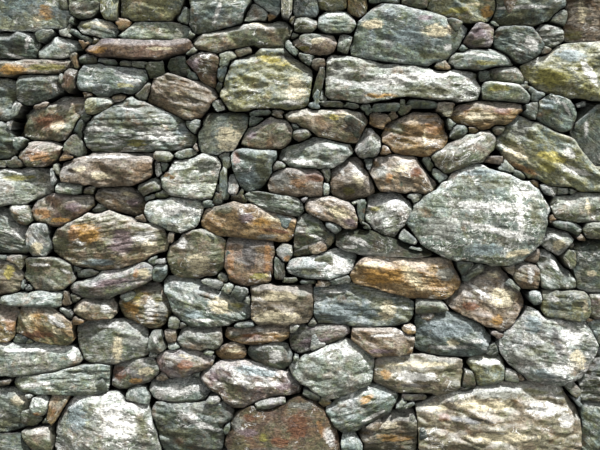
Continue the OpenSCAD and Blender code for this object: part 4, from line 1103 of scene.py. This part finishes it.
# Mesh step, worn rim, facets in mm as above, their share on the beds, thickness and ledges of the layers
blocks = {
    "head": {"step": 12.5 * mm, "rim": (3 * mm, 26 * mm), "layer": 19 * mm, "ledge": 6 * mm,
             "breaks": ((140, 90, 34), (55, 34, 17), (24, 15, 8)), "bedShare": 0.1, "bedGrow": 2 * mm,
             "terraces": 0.0, "rocks": "glgtbdml"},
    "cope": {"step": 12 * mm, "rim": (2 * mm, 14 * mm), "layer": 13 * mm, "ledge": 10 * mm,
             "breaks": ((160, 90, 34), (60, 34, 18), (24, 15, 7)), "bedShare": 0.25, "bedGrow": 0.0,
             "terraces": 26 * mm, "rocks": "gdlgbgt"},
    "core": {"step": 34 * mm, "rim": (5 * mm, 9 * mm), "layer": 30 * mm, "ledge": 6 * mm,
             "breaks": ((60, 45, 18), (30, 22, 8)), "bedShare": 0.6, "bedGrow": 0.0, "terraces": 0.0},
}


def buildBlocks(node, look, seed):
    rng = random.Random(seed)
    things = [carveBlock(b, look, rockMaterials[rng.choice(look["rocks"])], rng) for b in blocksOf(node)]
    settle(joined(things, camel(node)), node)


buildFace(seenStones, front, seenShape, chipShape, 101)
stage("seen face carved")
buildFace(farStones, back, farShape, farChipShape, 202)
stage("far face carved")
buildBlocks("west_head", blocks["head"], 7)
buildBlocks("east_head", blocks["head"], 8)
for i in range(1, 8):
    buildBlocks(f"cope_{i}", blocks["cope"], 30 + i)
coreX = nodePoints("hearting")[:, 0]
coreBlock = np.array([(x, y * w, z) for x in (coreX.min(), coreX.max()) for y in (-1, 1)
                      for z, w in ((0, coreFoot), (coreHeight, coreTop))])
# the hearting takes the near-black rock, painted shade for the depth of the joints
coreThing = carveBlock(coreBlock, blocks["core"], rockMaterials["h"], random.Random(50))
settle(joined([coreThing], "packedStones"), "hearting")
stage("heads, cope and hearting carved")

# Camera square to the battered face, 2.5 m off, so that the picture takes in 1.80 m by 1.35 m of it
view = {"distance": 2.5, "height": 0.699, "lens": 50.0, "sensor": 36.0}
batter = math.atan((faceFoot - faceTop) / wallTop)
target = Vector((0, -faceAt(view["height"]), view["height"]))
outward = Vector((0, -math.cos(batter), math.sin(batter)))
cameraData = bpy.data.cameras.new("camera")
cameraData.lens = view["lens"]
cameraData.sensor_width = view["sensor"]
camera = placed("camera", cameraData)
camera.location = target + outward * view["distance"]
camera.rotation_euler = (-outward).to_track_quat("-Z", "Y").to_euler()
bpy.context.scene.camera = camera

# Soft studio light: a pale world and one broad lamp from above on the right
light = {"sun": 6.5, "spread": 3.0, "from": (0.36, -0.38, 1.0), "world": 0.8, "worldColour": "#e6e8ea",
         "sunColour": "#fdfdff"}
sunData = bpy.data.lights.new("keyLamp", "SUN")
sunData.energy = light["sun"]
sunData.angle = math.radians(light["spread"])
sunData.color = linear(light["sunColour"])[:3]
sun = placed("keyLamp", sunData)
sun.rotation_euler = Vector(light["from"]).to_track_quat("Z", "Y").to_euler()
world = bpy.data.worlds.new("studio")
world.use_nodes = True
sky = world.node_tree.nodes["Background"].inputs
sky["Color"].default_value = linear(light["worldColour"])
sky["Strength"].default_value = light["world"]
bpy.context.scene.world = world
bpy.context.scene.view_settings.view_transform = "Standard"

bm = bmesh.new()
bmesh.ops.create_grid(bm, x_segments=1, y_segments=1, size=12)
floorMesh, _ = meshFrom(bm, "floor")
floorPaint = bpy.data.materials.new("paleFloor")
floorPaint.use_nodes = True
paint = floorPaint.node_tree.nodes["Principled BSDF"].inputs
paint["Base Color"].default_value = linear("#a09f9a")
paint["Roughness"].default_value = 0.8
floorMesh.materials.append(floorPaint)
floor = placed("floor", floorMesh)

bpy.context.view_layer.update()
triangles = sum(len(p.vertices) - 2 for o in bpy.data.objects if o.type == "MESH" and "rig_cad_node" not in o
                for p in o.data.polygons)
stage(f"{triangles} triangles added")
